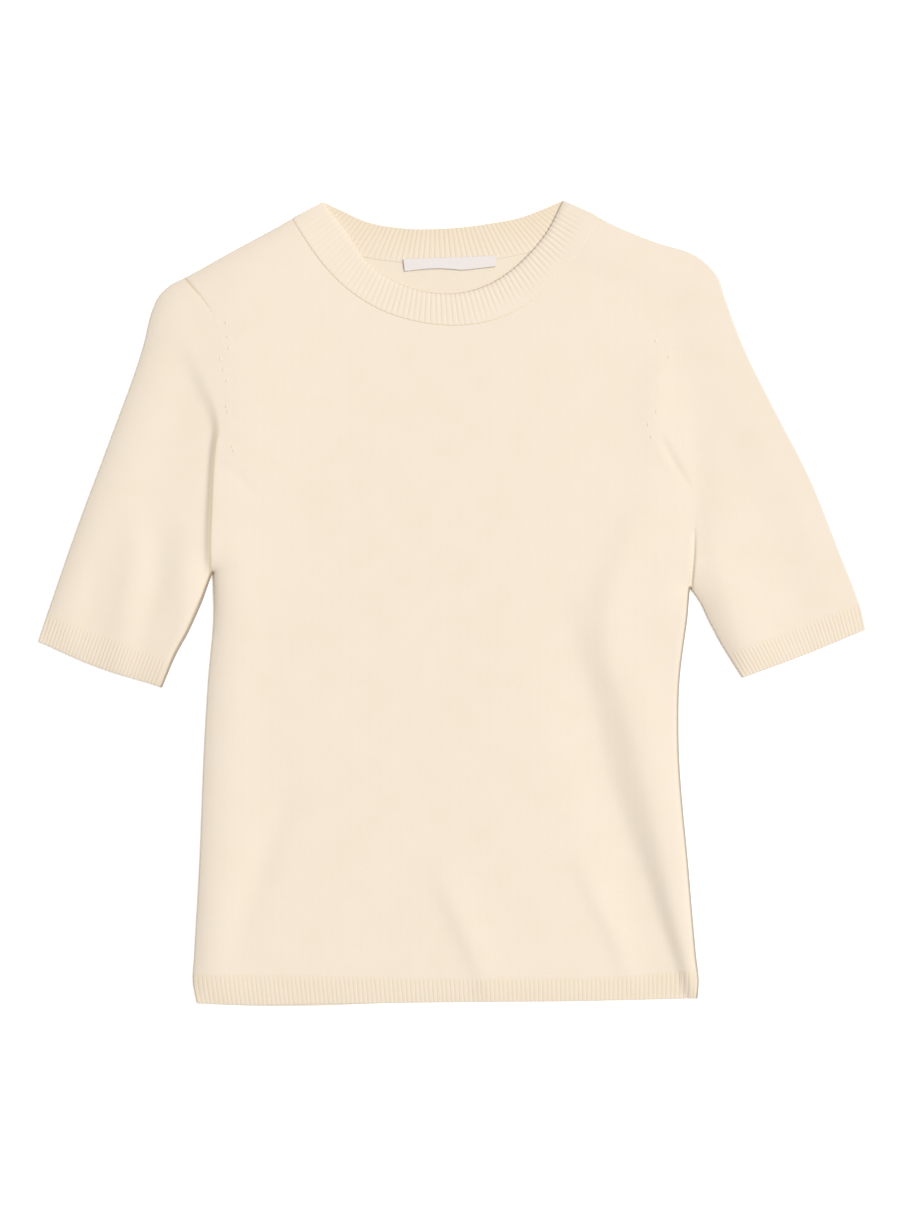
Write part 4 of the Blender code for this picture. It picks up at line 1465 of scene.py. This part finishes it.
@dataclass
class BodyPanel(Piece):
    """The front or back panel, from its hem seam up to its shoulders and neck seam."""

    neck_seam: Marks = NECK_SEAM_FRONT
    facing: Facing = Facing.UP
    flank_steps: int = 108
    armhole_steps: int = 86
    shoulder_steps: int = 26
    neck_steps: int = 84
    shoulder_share: float = 0.21

    def net(self, pattern: Pattern) -> Floats:
        """The panel's net, whose sides follow the side seam and then the armhole.

        Args:
            pattern: The garment's lines.

        Returns:
            Places in plan, as columns by rows by 2.
        """
        sides = []
        for half in (pattern.right, pattern.left):
            flank = HEM_DEPTH + graded(half.flank.length - HEM_DEPTH, self.flank_steps, end=FROM_SEAM)
            armhole = graded(half.armhole.length, self.armhole_steps, start=FROM_SEAM, end=FROM_EDGE)
            sides.append(np.vstack([half.flank.at(flank[:-1]), half.armhole.at(armhole)]))
        near, far = sides
        seam = Path.through(self.neck_seam)
        shoulders = [half.shoulder for half in (pattern.right, pattern.left)]
        runs = [graded(path.length, self.shoulder_steps, start=FROM_EDGE) for path in shoulders]
        neck = graded(seam.length, self.neck_steps, start=FROM_NECK, end=FROM_NECK)
        right, left = (path.at(run[:-1]) for path, run in zip(shoulders, runs))
        head = np.vstack([right, seam.at(neck), left[::-1]])
        width = pattern.hem_seam.length
        outer_part = graded(self.shoulder_share * width, self.shoulder_steps, start=FROM_EDGE)
        middle_part = np.linspace(outer_part[-1], width - outer_part[-1], len(neck))
        foot_run = np.concatenate([outer_part[:-1], middle_part, width - outer_part[-2::-1]])
        foot = pattern.hem_seam.at(foot_run)
        foot[0], foot[-1], head[0], head[-1] = near[0], far[0], near[-1], far[-1]
        up = np.mean([(path[:, 1] - path[0, 1]) / (path[-1, 1] - path[0, 1]) for path in sides], axis=0)
        return net_between(foot, head, near, far, foot_run / width, up)

    def wall(self, pattern: Pattern) -> ClothWall:
        """The panel's wall.

        Args:
            pattern: The garment's lines.

        Returns:
            The wall, whose rim at the neck and shoulders is nearly flat, because a seam covers it.
        """
        plan = self.net(pattern)
        layer = pattern.form.upper(plan) if self.facing is Facing.UP else pattern.form.lower(plan)
        return ClothWall(
            layer, WALL, facing=self.facing, rim_steps=SEAM_RIM_STEPS, rim_bulge=SEAM_RIM_BULGE
        )

    def build(self, pattern: Pattern, wardrobe: Wardrobe) -> bpy.types.Object:
        """The finished panel."""
        return self.finished(self.wall(pattern), [wardrobe.jersey, wardrobe.purl])


@dataclass
class Sleeve(Piece):
    """A set-in sleeve, one flattened tube from its cuff to its armhole."""

    side: Side = Side.RIGHT
    steps_across: int = 38
    steps_along: int = 100
    rough_length: float = 200.0

    def net(self, half: HalfPattern) -> Floats:
        """The sleeve's net, from its outer edge across to the underarm one, and from its cuff upwards.

        Args:
            half: The lines of the sleeve's side.

        Returns:
            Places in plan, as columns by rows by 2.
        """
        seam = half.cuff_seam
        across = graded(seam.length, self.steps_across, start=FROM_EDGE, end=FROM_EDGE)
        armhole = half.armhole.turned()
        head = armhole.at(graded(armhole.length, self.steps_across, start=FROM_EDGE, end=FROM_EDGE))
        shares = graded(1.0, self.steps_along, end=tuple(near / self.rough_length for near in FROM_SEAM))
        near, far = (
            path.at(CUFF_DEPTH + shares * (path.length - CUFF_DEPTH)) for path in (half.outer, half.inner)
        )
        foot = seam.at(across)
        near[0], near[-1], far[0], far[-1] = foot[0], head[0], foot[-1], head[-1]
        return net_between(foot, head, near, far, across / across[-1], shares)

    def build(self, pattern: Pattern, wardrobe: Wardrobe) -> bpy.types.Object:
        """The finished sleeve, whose wales run along it.

        Args:
            pattern: The garment's lines.
            wardrobe: The finishes.

        Returns:
            The sleeve's object.
        """
        half = pattern.half(self.side)
        plan = self.net(half)
        layer = pattern.form.upper(plan).round_to(pattern.form.lower(plan))
        across = unit(half.cuff_seam.points[1] - half.cuff_seam.points[0])
        along = np.array([-across[1], across[0]])
        flat = np.stack([layer.flat @ across, layer.flat @ along], axis=-1)
        layer = Layer(layer.points, flat, layer.seam)
        wall = ClothWall(layer, WALL, ring=True, rim_steps=SEAM_RIM_STEPS, rim_bulge=SEAM_RIM_BULGE)
        return self.finished(wall, [wardrobe.jersey, wardrobe.purl])


@dataclass
class RibbedBand(Piece):
    """What the ribbed bands share: ribs with round crests and narrow furrows, which fade in from the seam.

    The ribs start unevenly and waver a little, both by products of slow sines of their number.
    """

    ribs: int = 36
    relief: float = 0.17
    crest_power: float = 2.4
    fade_in: float = 4.0
    fade_waver: float = 0.3
    fade_waves: tuple[float, float] = (2.6, 7.1)
    waver: float = 0.06
    waver_waves: tuple[float, float] = (2.1, 5.0)
    # the painted shade at the bottom of the furrows
    furrow_shade: float = 0.4
    # a darker, yellower tone over the whole band, as a share of the shade colour
    warmth: float = 0.2
    columns_to_a_rib: int = 8
    rows: int = 17
    pitch: float = 3.0

    def grid(self) -> tuple[Floats, Floats]:
        """Each column's place among the ribs, and each row's share of the band's depth."""
        phase = np.linspace(0.0, self.ribs, self.ribs * self.columns_to_a_rib + 1)
        return phase, np.linspace(0.0, 1.0, self.rows)

    def rib_profile(self, phase: Floats) -> Floats:
        """A rib's height over its mean face: a crest that falls by a power to the furrows beside it."""
        across = np.abs(2 * (phase % 1.0) - 1.0)
        return self.relief * (1.0 - 2.0 * across**self.crest_power)

    def furrow_depth(self, phase: Floats) -> Floats:
        """1 at the bottom of a groove between ribs, and 0 from a quarter of a rib away."""
        across = np.abs(2 * (phase % 1.0) - 1.0)
        return softened((across - 0.5) / 0.5)

    def relief_on(self, phase: Floats, down: Floats, depth: float) -> tuple[Floats, Floats]:
        """The ribs over a net.

        Args:
            phase: Each column's place among the ribs, counted in ribs.
            down: Each row's share of the band's depth.
            depth: The band's depth.

        Returns:
            The relief, and the painted shade in the furrows at each point.
        """
        slow, quick = (np.sin(wave * phase)[:, None] for wave in self.fade_waves)
        fade = softened(down * depth / (self.fade_in * (1 + self.fade_waver * slow * quick)))
        across, along = self.waver_waves
        sway = self.waver * np.sin(across * phase)[:, None] * np.sin(along * down + phase[:, None])
        ribs = self.rib_profile(phase[:, None] + sway)
        # the furrows' painted shade fades in with the ribs
        return ribs * fade, self.furrow_shade * self.furrow_depth(phase)[:, None] * fade

    def flat_of(self, phase: Floats, down: Floats, depth: float) -> Floats:
        """The knit's own map: a rib's pitch for each rib across, and the real distance along.

        Args:
            phase: Each column's place among the ribs, counted in ribs.
            down: Each row's share of the band's depth.
            depth: The band's depth.

        Returns:
            Each point's place on the flat knit.
        """
        shape = (len(phase), len(down))
        across = np.broadcast_to((phase * self.pitch)[:, None], shape)
        along = np.broadcast_to((down * depth)[None], shape)
        return np.stack([across, along], axis=-1)


@dataclass
class HemBand(RibbedBand):
    """The hem's band on the front or the back, between the side seams."""

    ribs: int = 114
    relief: float = 0.145
    facing: Facing = Facing.UP
    slip: float = 0.0
    slip_at: float = -100.0
    slip_reach: float = 42.0
    side_reach: float = 3.0

    def to_sides(self, plan: Floats, phase: Floats, pattern: Pattern) -> Floats:
        """Moves the net's ends onto the side folds, by a shift that fades inwards as exp of minus the ribs.

        Args:
            plan: The net in plan.
            phase: Each column's place among the ribs, counted in ribs.
            pattern: The garment's lines.

        Returns:
            The net with its ends moved.
        """
        moved = plan
        ends = ((0, pattern.right.flank, phase), (-1, pattern.left.flank, self.ribs - phase))
        for end, flank, away in ends:
            gap = flank.at(flank.nearest(plan[end])[1]) - plan[end]
            moved = moved + np.exp(-away / self.side_reach)[:, None, None] * gap
        return moved

    def build(self, pattern: Pattern, wardrobe: Wardrobe) -> bpy.types.Object:
        """The finished band. The back one slips out below the front for a short way, by a bell curve.

        Args:
            pattern: The garment's lines.
            wardrobe: The finishes.

        Returns:
            The band's object.
        """
        slipped = Path.through(HEM_EDGE).points.copy()
        slipped[:, 1] -= self.slip * np.exp(-(((slipped[:, 0] - self.slip_at) / self.slip_reach) ** 2))
        phase, down = self.grid()
        plan = band_net(pattern.hem_seam, Path(slipped), phase / self.ribs, down, WALL / 2)
        plan = self.to_sides(plan, phase, pattern)
        in_front = self.facing is Facing.UP
        layer = pattern.form.upper(plan) if in_front else pattern.form.lower(plan)
        relief, painted_shade_and_tone = self.relief_on(phase, down, HEM_DEPTH)
        layer = Layer(layer.points, self.flat_of(phase, down, HEM_DEPTH), layer.seam)
        ribbed = relief if in_front else None
        wall = ClothWall(layer, WALL, facing=self.facing, relief=ribbed)
        # painted shade in the furrows, and the band's darker tone all over
        return self.finished(wall, [wardrobe.rib, wardrobe.rib], painted_shade_and_tone + self.warmth)


@dataclass
class Cuff(RibbedBand):
    """A sleeve's band, one flattened ring that rests on a plain underside."""

    side: Side = Side.RIGHT
    ribs_past_edge: float = 0.5

    def build(self, pattern: Pattern, wardrobe: Wardrobe) -> bpy.types.Object:
        """The finished cuff, whose ribs are raised on its upper layer.

        Args:
            pattern: The garment's lines.
            wardrobe: The finishes.

        Returns:
            The cuff's object.
        """
        half = pattern.half(self.side)
        phase, down = self.grid()
        plan = band_net(half.cuff_seam, half.cuff_edge, phase / self.ribs, down, WALL / 2)
        layer = pattern.form.upper(plan).round_to(pattern.form.lower(plan))
        around = np.arange(len(layer.points)) / self.columns_to_a_rib
        relief, painted_shade_and_tone = self.relief_on(around, down, CUFF_DEPTH)
        relief = relief * softened(self.ribs + self.ribs_past_edge - around)[:, None]
        layer = Layer(layer.points, self.flat_of(around, down, CUFF_DEPTH), layer.seam)
        closing = np.array([2 * self.ribs * self.pitch, 0.0])
        wall = ClothWall(layer, WALL, ring=True, relief=relief, flat_step=closing)
        # painted shade in the furrows, and the band's darker tone all over
        return self.finished(wall, [wardrobe.rib, wardrobe.rib], painted_shade_and_tone + self.warmth)


@dataclass
class Neckband(RibbedBand):
    """The ribbed neckband: one ring, whose front lies over its back and folds into it at both shoulders.

    Its linked seam rolls down into the body with a bead to each rib, less at the left, and its free edge
    turns down round the rim. A ramp across the front is in shares of its width, from the right shoulder.
    """

    ribs: int = 68
    back_ribs: int = 58
    depth: float = 24.5
    rise: float = 0.5
    overlap: float = 0.3
    rows_at_seam: tuple[float, ...] = (0.012, 0.03, 0.055)
    rows_at_rim: tuple[float, ...] = (0.008, 0.03, 0.07, 0.12)
    edge_roll: float = 1.0
    roll_depth: float = 1.4
    roll_fall: float = 0.75
    roll_fall_ramp: Ramp = Ramp(0.5, 0.3)
    bead: float = 0.5
    rim_round: float = 5.0
    rim_height: float = 3.2
    rim_bulge: float = 0.35
    ribs_from_fold: Ramp = Ramp(9.0, 4.0)
    inside_relief: float = 1.1
    inside_roll: float = 1.3
    # painted shade on the back's inside: the share of the band's tone at its seam, and how much more towards
    # its free edge
    inside_warmth: tuple[float, float] = (0.3, 1.2)
    # the painted shadow line along the front's linked seam: its strength and half width
    seam_shade: float = 0.9
    seam_shade_width: float = 0.9
    least_worn: float = 0.4
    worn_ramps: tuple[tuple[float, Ramp], ...] = ((0.6, Ramp(0.12, 0.25)), (0.3, Ramp(0.55, 0.2)))
    pulled_ramp: Ramp = Ramp(0.52, 0.16)
    pulled_down: Ramp = Ramp(0.12, 0.5)
    shoulder_rolls: tuple[float, float] = (0.05, 0.07)

    def face(self, seam: Marks, free_edge: Marks, ribs: int, down: Floats) -> Floats:
        """One layer's net in plan, which laps over the body's edge a little.

        Args:
            seam: The line that is linked to the body.
            free_edge: The line round the neck's opening.
            ribs: How many ribs there are across.
            down: Each row's share of the depth, from the seam.

        Returns:
            Places in plan, as columns by rows by 2.
        """
        across = np.linspace(0.0, 1.0, ribs * self.columns_to_a_rib + 1)
        line = Path.through(seam)
        lapped = Path(line.beside(line.run, -self.overlap))
        return band_net(lapped, Path.through(free_edge), across, down, RIB_WALL / 2)

    def showing(self, around: Floats, down: Floats) -> Floats:
        """How much the ribs show: less at both shoulders, and at the left only towards the free edge.

        Args:
            around: Each column's place round the band, in ribs from the right shoulder across the front.
            down: Each row's share of the depth, from the seam.

        Returns:
            A share for each point.
        """
        across = np.clip(around / self.ribs, 0.0, 1.0)[:, None]
        worn = self.least_worn
        for share, ramp in self.worn_ramps:
            worn = worn + share * ramp.at(across)
        from_right, from_left = self.shoulder_rolls
        rolled = softened(across / from_right) * softened((1.0 - across) / from_left)
        pulled = self.pulled_ramp.at(across) * (1 - self.pulled_down.at(down[None]))
        return np.where(around[:, None] > self.ribs, 1.0, worn * rolled * (1 - pulled))

    def build(self, pattern: Pattern, wardrobe: Wardrobe) -> bpy.types.Object:
        """The finished neckband. Its ribs show on the front's outside and on the back's inside.

        Args:
            pattern: The garment's lines.
            wardrobe: The finishes.

        Returns:
            The neckband's object.
        """
        form = pattern.form
        down = graded(1.0, self.rows, start=self.rows_at_seam, end=self.rows_at_rim)
        front = self.face(NECK_SEAM_FRONT, NECK_EDGE_FRONT, self.ribs, down)
        back = self.face(NECK_SEAM_BACK, NECK_EDGE_BACK, self.back_ribs, down)
        back[0], back[-1] = front[0], front[-1]
        layer = form.upper(front, thicker=self.rise).round_to(form.lower(back))
        around = np.arange(len(layer.points)) / self.columns_to_a_rib
        in_front = around <= self.ribs
        roll = self.edge_roll * (1 - rounded(down * self.depth / self.roll_depth))
        across = np.clip(around / self.ribs, 0.0, 1.0)[:, None]
        turned = in_front[:, None] * (1 - self.roll_fall * self.roll_fall_ramp.at(across))
        beads = 1 + self.bead * np.cos(2 * math.pi * around)[:, None]
        layer.points[..., 2] -= roll[None] * beads * turned
        turn = 1 - rounded((1 - down) * self.depth / self.rim_round)
        over_rim = np.maximum(layer.points[..., 2] - self.rim_height, 0.0)
        layer.points[..., 2] -= over_rim * turn[None] * in_front[:, None]
        shown = self.showing(around, down)
        relief, painted_shade_and_tone = (part * shown for part in self.relief_on(around, down, self.depth))
        depth, _ = form.inside(layer.points[:, len(down) // 2, :2])
        behind = ~in_front * self.ribs_from_fold.at(depth)
        relief_behind = relief * behind[:, None] * self.inside_relief
        roll_behind = roll[None] * self.inside_roll * behind[:, None]
        layer = Layer(layer.points, self.flat_of(around, down, self.depth))
        closing = np.array([(self.ribs + self.back_ribs) * self.pitch, 0.0])
        wall = ClothWall(
            layer,
            RIB_WALL,
            ring=True,
            relief=relief * in_front[:, None],
            inner_relief=relief_behind - roll_behind,
            flat_step=closing,
            rim_bulge=self.rim_bulge,
        )
        # painted shade on the back's inside, deeper towards its free edge, and a painted shadow line along
        # the front's linked seam
        at_seam, more = self.inside_warmth
        painted_shade = self.warmth * (at_seam + more * down[None]) * ~in_front[:, None]
        seam = np.exp(-((down * self.depth / self.seam_shade_width) ** 2))
        painted_shade = painted_shade + self.seam_shade * turned * seam[None]
        return self.finished(wall, [wardrobe.rib, wardrobe.rib], painted_shade_and_tone + painted_shade)


@dataclass
class NeckLabel(Piece):
    """The woven label, left bare, which lies over the back neck seam and curls a little at its foot."""

    top: Marks = marks((-30.8, 535.6), (2.0, 536.7), (36.1, 538.0))
    foot: Marks = marks(
        (-29.7, 527.1), (-18.7, 528.4), (-7.2, 529.2), (2.9, 528.8), (11.5, 528.1), (23.0, 529.2),
        (35.9, 530.7),
    )
    top_height: float = 3.2
    foot_height: float = 2.6
    curl: float = 0.5
    waves: float = 1.5
    thickness: float = 0.6
    steps: tuple[int, int] = (72, 12)

    def build(self, pattern: Pattern, wardrobe: Wardrobe) -> bpy.types.Object:
        """The finished label: its underside falls from top to foot, and waves by a cosine along its foot.

        Args:
            pattern: The garment's lines, which it doesn't need.
            wardrobe: The finishes.

        Returns:
            The label's object.
        """
        across, down = (np.linspace(0.0, 1.0, steps + 1) for steps in self.steps)
        head, foot = (Path.through(line) for line in (self.top, self.foot))
        plan = band_net(head, foot, across, down, 0.0)
        wave = self.curl * (1 - np.cos(2 * math.pi * self.waves * across)) / 2
        height = self.top_height + (self.foot_height - self.top_height) * down[None]
        height = height + wave[:, None] * down[None] ** 2 + self.thickness
        points = np.concatenate([plan, height[..., None]], axis=-1)
        wall = ClothWall(Layer(points, plan), self.thickness)
        return self.finished(wall, [wardrobe.satin])


@dataclass
class NarrowingStitches:
    """The doubled stitches beside each armhole, where the knitter narrowed the front: small plump beads."""

    name: str = "narrowing_stitches"
    slot: Slot = Slot.JERSEY
    length: float = 2.8
    width: float = 1.8
    height: float = 0.45
    steps: int = 6
    places: Marks = NARROWINGS

    def bead(self) -> tuple[Floats, Ints]:
        """A closed bead without poles: a square net squeezed to a disc, domed up, and mirrored below it.

        Returns:
            Its points, and its quads.
        """
        line = np.linspace(-1.0, 1.0, self.steps + 1)
        u, v = np.meshgrid(line, line, indexing="ij")
        x, y = u * np.sqrt(1 - v * v / 2), v * np.sqrt(1 - u * u / 2)
        z = np.sqrt(np.maximum(0.0, 1 - x * x - y * y))
        points = np.concatenate([np.stack([x, y, side * z], axis=-1).reshape(-1, 3) for side in (1, -1)])
        top = np.arange(u.size).reshape(u.shape)
        border = (np.abs(u) == 1) | (np.abs(v) == 1)
        below = np.where(border, top, top + u.size)
        faces = np.concatenate([quads(top), quads(below)[:, ::-1]])
        used, numbers = np.unique(faces, return_inverse=True)
        size = np.array([self.width, self.length, self.height]) / np.array([2.0, 2.0, 1.0])
        return points[used] * size, numbers.reshape(faces.shape)

    def build(self, pattern: Pattern, wardrobe: Wardrobe) -> bpy.types.Object:
        """The finished beads, each half sunk in the front.

        Args:
            pattern: The garment's lines.
            wardrobe: The finishes.

        Returns:
            The beads' object.
        """
        points, faces = self.bead()
        seats = pattern.form.upper(np.array([self.places])).points[0]
        all_points = (seats[:, None] + points[None]).reshape(-1, 3)
        all_faces = (faces[None] + len(points) * np.arange(len(seats))[:, None, None]).reshape(-1, 4)
        flat = all_points[all_faces][..., :2]
        draft = MeshDraft(all_points, all_faces, flat)
        draft.outward()
        made = draft.made(self.name, [wardrobe.jersey])
        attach(made, "root")
        LOG.info("%s: %d faces", made.name, len(made.data.polygons))
        return made


# The studio


@dataclass(frozen=True)
class Studio:
    """A white floor, a camera straight above, one large soft light and an even white world.

    The view is in millimetres, at the height where the pattern's outline is. The rest is in metres.
    """

    view_height: float = 868.3
    view_centre: Point = Point(4.32, 288.0)
    outline_height: float = 3.3
    lens: float = 85.0
    sensor: float = 36.0
    clipping: tuple[float, float] = (0.1, 20.0)
    white: Colour = Colour(1.0, 1.0, 1.0)
    floor_colour: Colour = Colour(0.9, 0.9, 0.9)
    floor_glow: float = 0.16
    floor_half: float = 3.0
    floor_drop: float = 0.0002
    light_place: tuple[float, float, float] = (3.37, 0.90, 9.35)
    light_size: float = 6.4
    light_power: float = 1098.0
    world_strength: float = 0.29

    def camera(self) -> None:
        """The camera, looking straight down from where its view is as high as the photo's."""
        data = bpy.data.cameras.new("camera")
        data.lens = self.lens
        data.sensor_width = self.sensor
        data.clip_start, data.clip_end = self.clipping
        distance = self.lens * self.view_height / self.sensor
        camera = bpy.data.objects.new("camera", data)
        centre = place_in_frame(np.array([*self.view_centre, distance + self.outline_height]))
        camera.location = centre.tolist()
        bpy.context.scene.collection.objects.link(camera)
        bpy.context.scene.camera = camera

    def floor(self) -> None:
        """The pale floor."""
        half = self.floor_half
        corners = [(-half, -half), (half, -half), (half, half), (-half, half)]
        mesh = bpy.data.meshes.new("floor")
        mesh.from_pydata([(x, y, -self.floor_drop) for x, y in corners], [], [(0, 1, 2, 3)])
        material = bpy.data.materials.new("floor_white")
        sheet = NodeSheet(material)
        shader = sheet.node(
            "ShaderNodeBsdfPrincipled",
            {},
            {
                "Base Color": self.floor_colour.rgba,
                "Roughness": 0.9,
                "Specular IOR Level": 0.1,
                "Emission Color": self.white.rgba,
                "Emission Strength": self.floor_glow,
            },
        )
        sheet.surface(shader)
        mesh.materials.append(material)
        floor = bpy.data.objects.new("floor", mesh)
        bpy.context.scene.collection.objects.link(floor)
        floor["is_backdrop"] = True

    def light(self) -> None:
        """The key light, square and soft, which looks at the garment."""
        data = bpy.data.lights.new("key", "AREA")
        data.shape = "SQUARE"
        data.size = self.light_size
        data.energy = self.light_power
        light = bpy.data.objects.new("key", data)
        light.location = self.light_place
        x, y, z = self.light_place
        light.rotation_euler = (math.atan2(math.hypot(x, y), z), 0.0, math.atan2(x, -y))
        bpy.context.scene.collection.objects.link(light)

    def build(self) -> None:
        """The whole studio."""
        self.camera()
        self.floor()
        world = bpy.data.worlds.new("studio")
        world.use_nodes = True
        background = world.node_tree.nodes["Background"]
        background.inputs["Color"].default_value = self.white.rgba
        background.inputs["Strength"].default_value = self.world_strength
        bpy.context.scene.world = world
        self.light()
        bpy.context.scene.view_settings.view_transform = "Standard"


AnyPiece = BodyPanel | Sleeve | HemBand | Cuff | Neckband | NeckLabel | NarrowingStitches


def pieces() -> Iterable[AnyPiece]:
    """The garment's pieces, in the order that they are laid.

    Returns:
        Each piece, with its cut in metres and square metres.
    """
    body_cut, hem_cut, hem_area = (0.37, 0.56), (0.363, 0.022), 0.0079
    yield BodyPanel(
        "knit_back", "body_back", Slot.JERSEY, body_cut, 0.182,
        neck_seam=NECK_SEAM_BACK, facing=Facing.DOWN,
        flank_steps=64, armhole_steps=51, shoulder_steps=16, neck_steps=50,
    )
    yield BodyPanel("knit_front", "body_front", Slot.JERSEY, body_cut, 0.176, ("knit_back",))
    for side in Side:
        names = (f"knit_sleeve_{side.value}", f"sleeve_{side.value}")
        yield Sleeve(*names, Slot.JERSEY, (0.26, 0.28), 0.041, side=side)
    yield HemBand(
        "rib_hem_back", "hem_rib_back", Slot.RIB, hem_cut, hem_area,
        facing=Facing.DOWN, slip=1.4, columns_to_a_rib=2, rows=8,
    )
    yield HemBand("rib_hem_front", "hem_rib_front", Slot.RIB, hem_cut, hem_area, ("rib_hem_back",))
    for side in Side:
        names = (f"rib_cuff_{side.value}", f"cuff_rib_{side.value}")
        yield Cuff(*names, Slot.RIB, (0.2, 0.021), 0.0042, side=side, warmth=0.1)
    yield Neckband("rib_neckband", "collar", Slot.RIB, (0.46, 0.0245), 0.0112, ("knit_back",), warmth=0.3)
    yield NeckLabel(
        "satin_label", "neck_label", Slot.LABEL, (0.067, 0.0102), 0.0006, ("knit_back", "rib_neckband")
    )
    yield NarrowingStitches()


def main() -> None:
    """Builds the pieces in order, and the studio round them."""
    logging.basicConfig(level=logging.INFO, format="%(message)s")
    pattern, wardrobe = Pattern(), Wardrobe()
    for piece in pieces():
        piece.build(pattern, wardrobe)
    Studio().build()
    boxes = {"solids": SOLIDS_BOX, "looks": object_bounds()}
    {name: [list(corner) for corner in box] for name, box in boxes.items()}


if __name__ == "__main__":
    main()
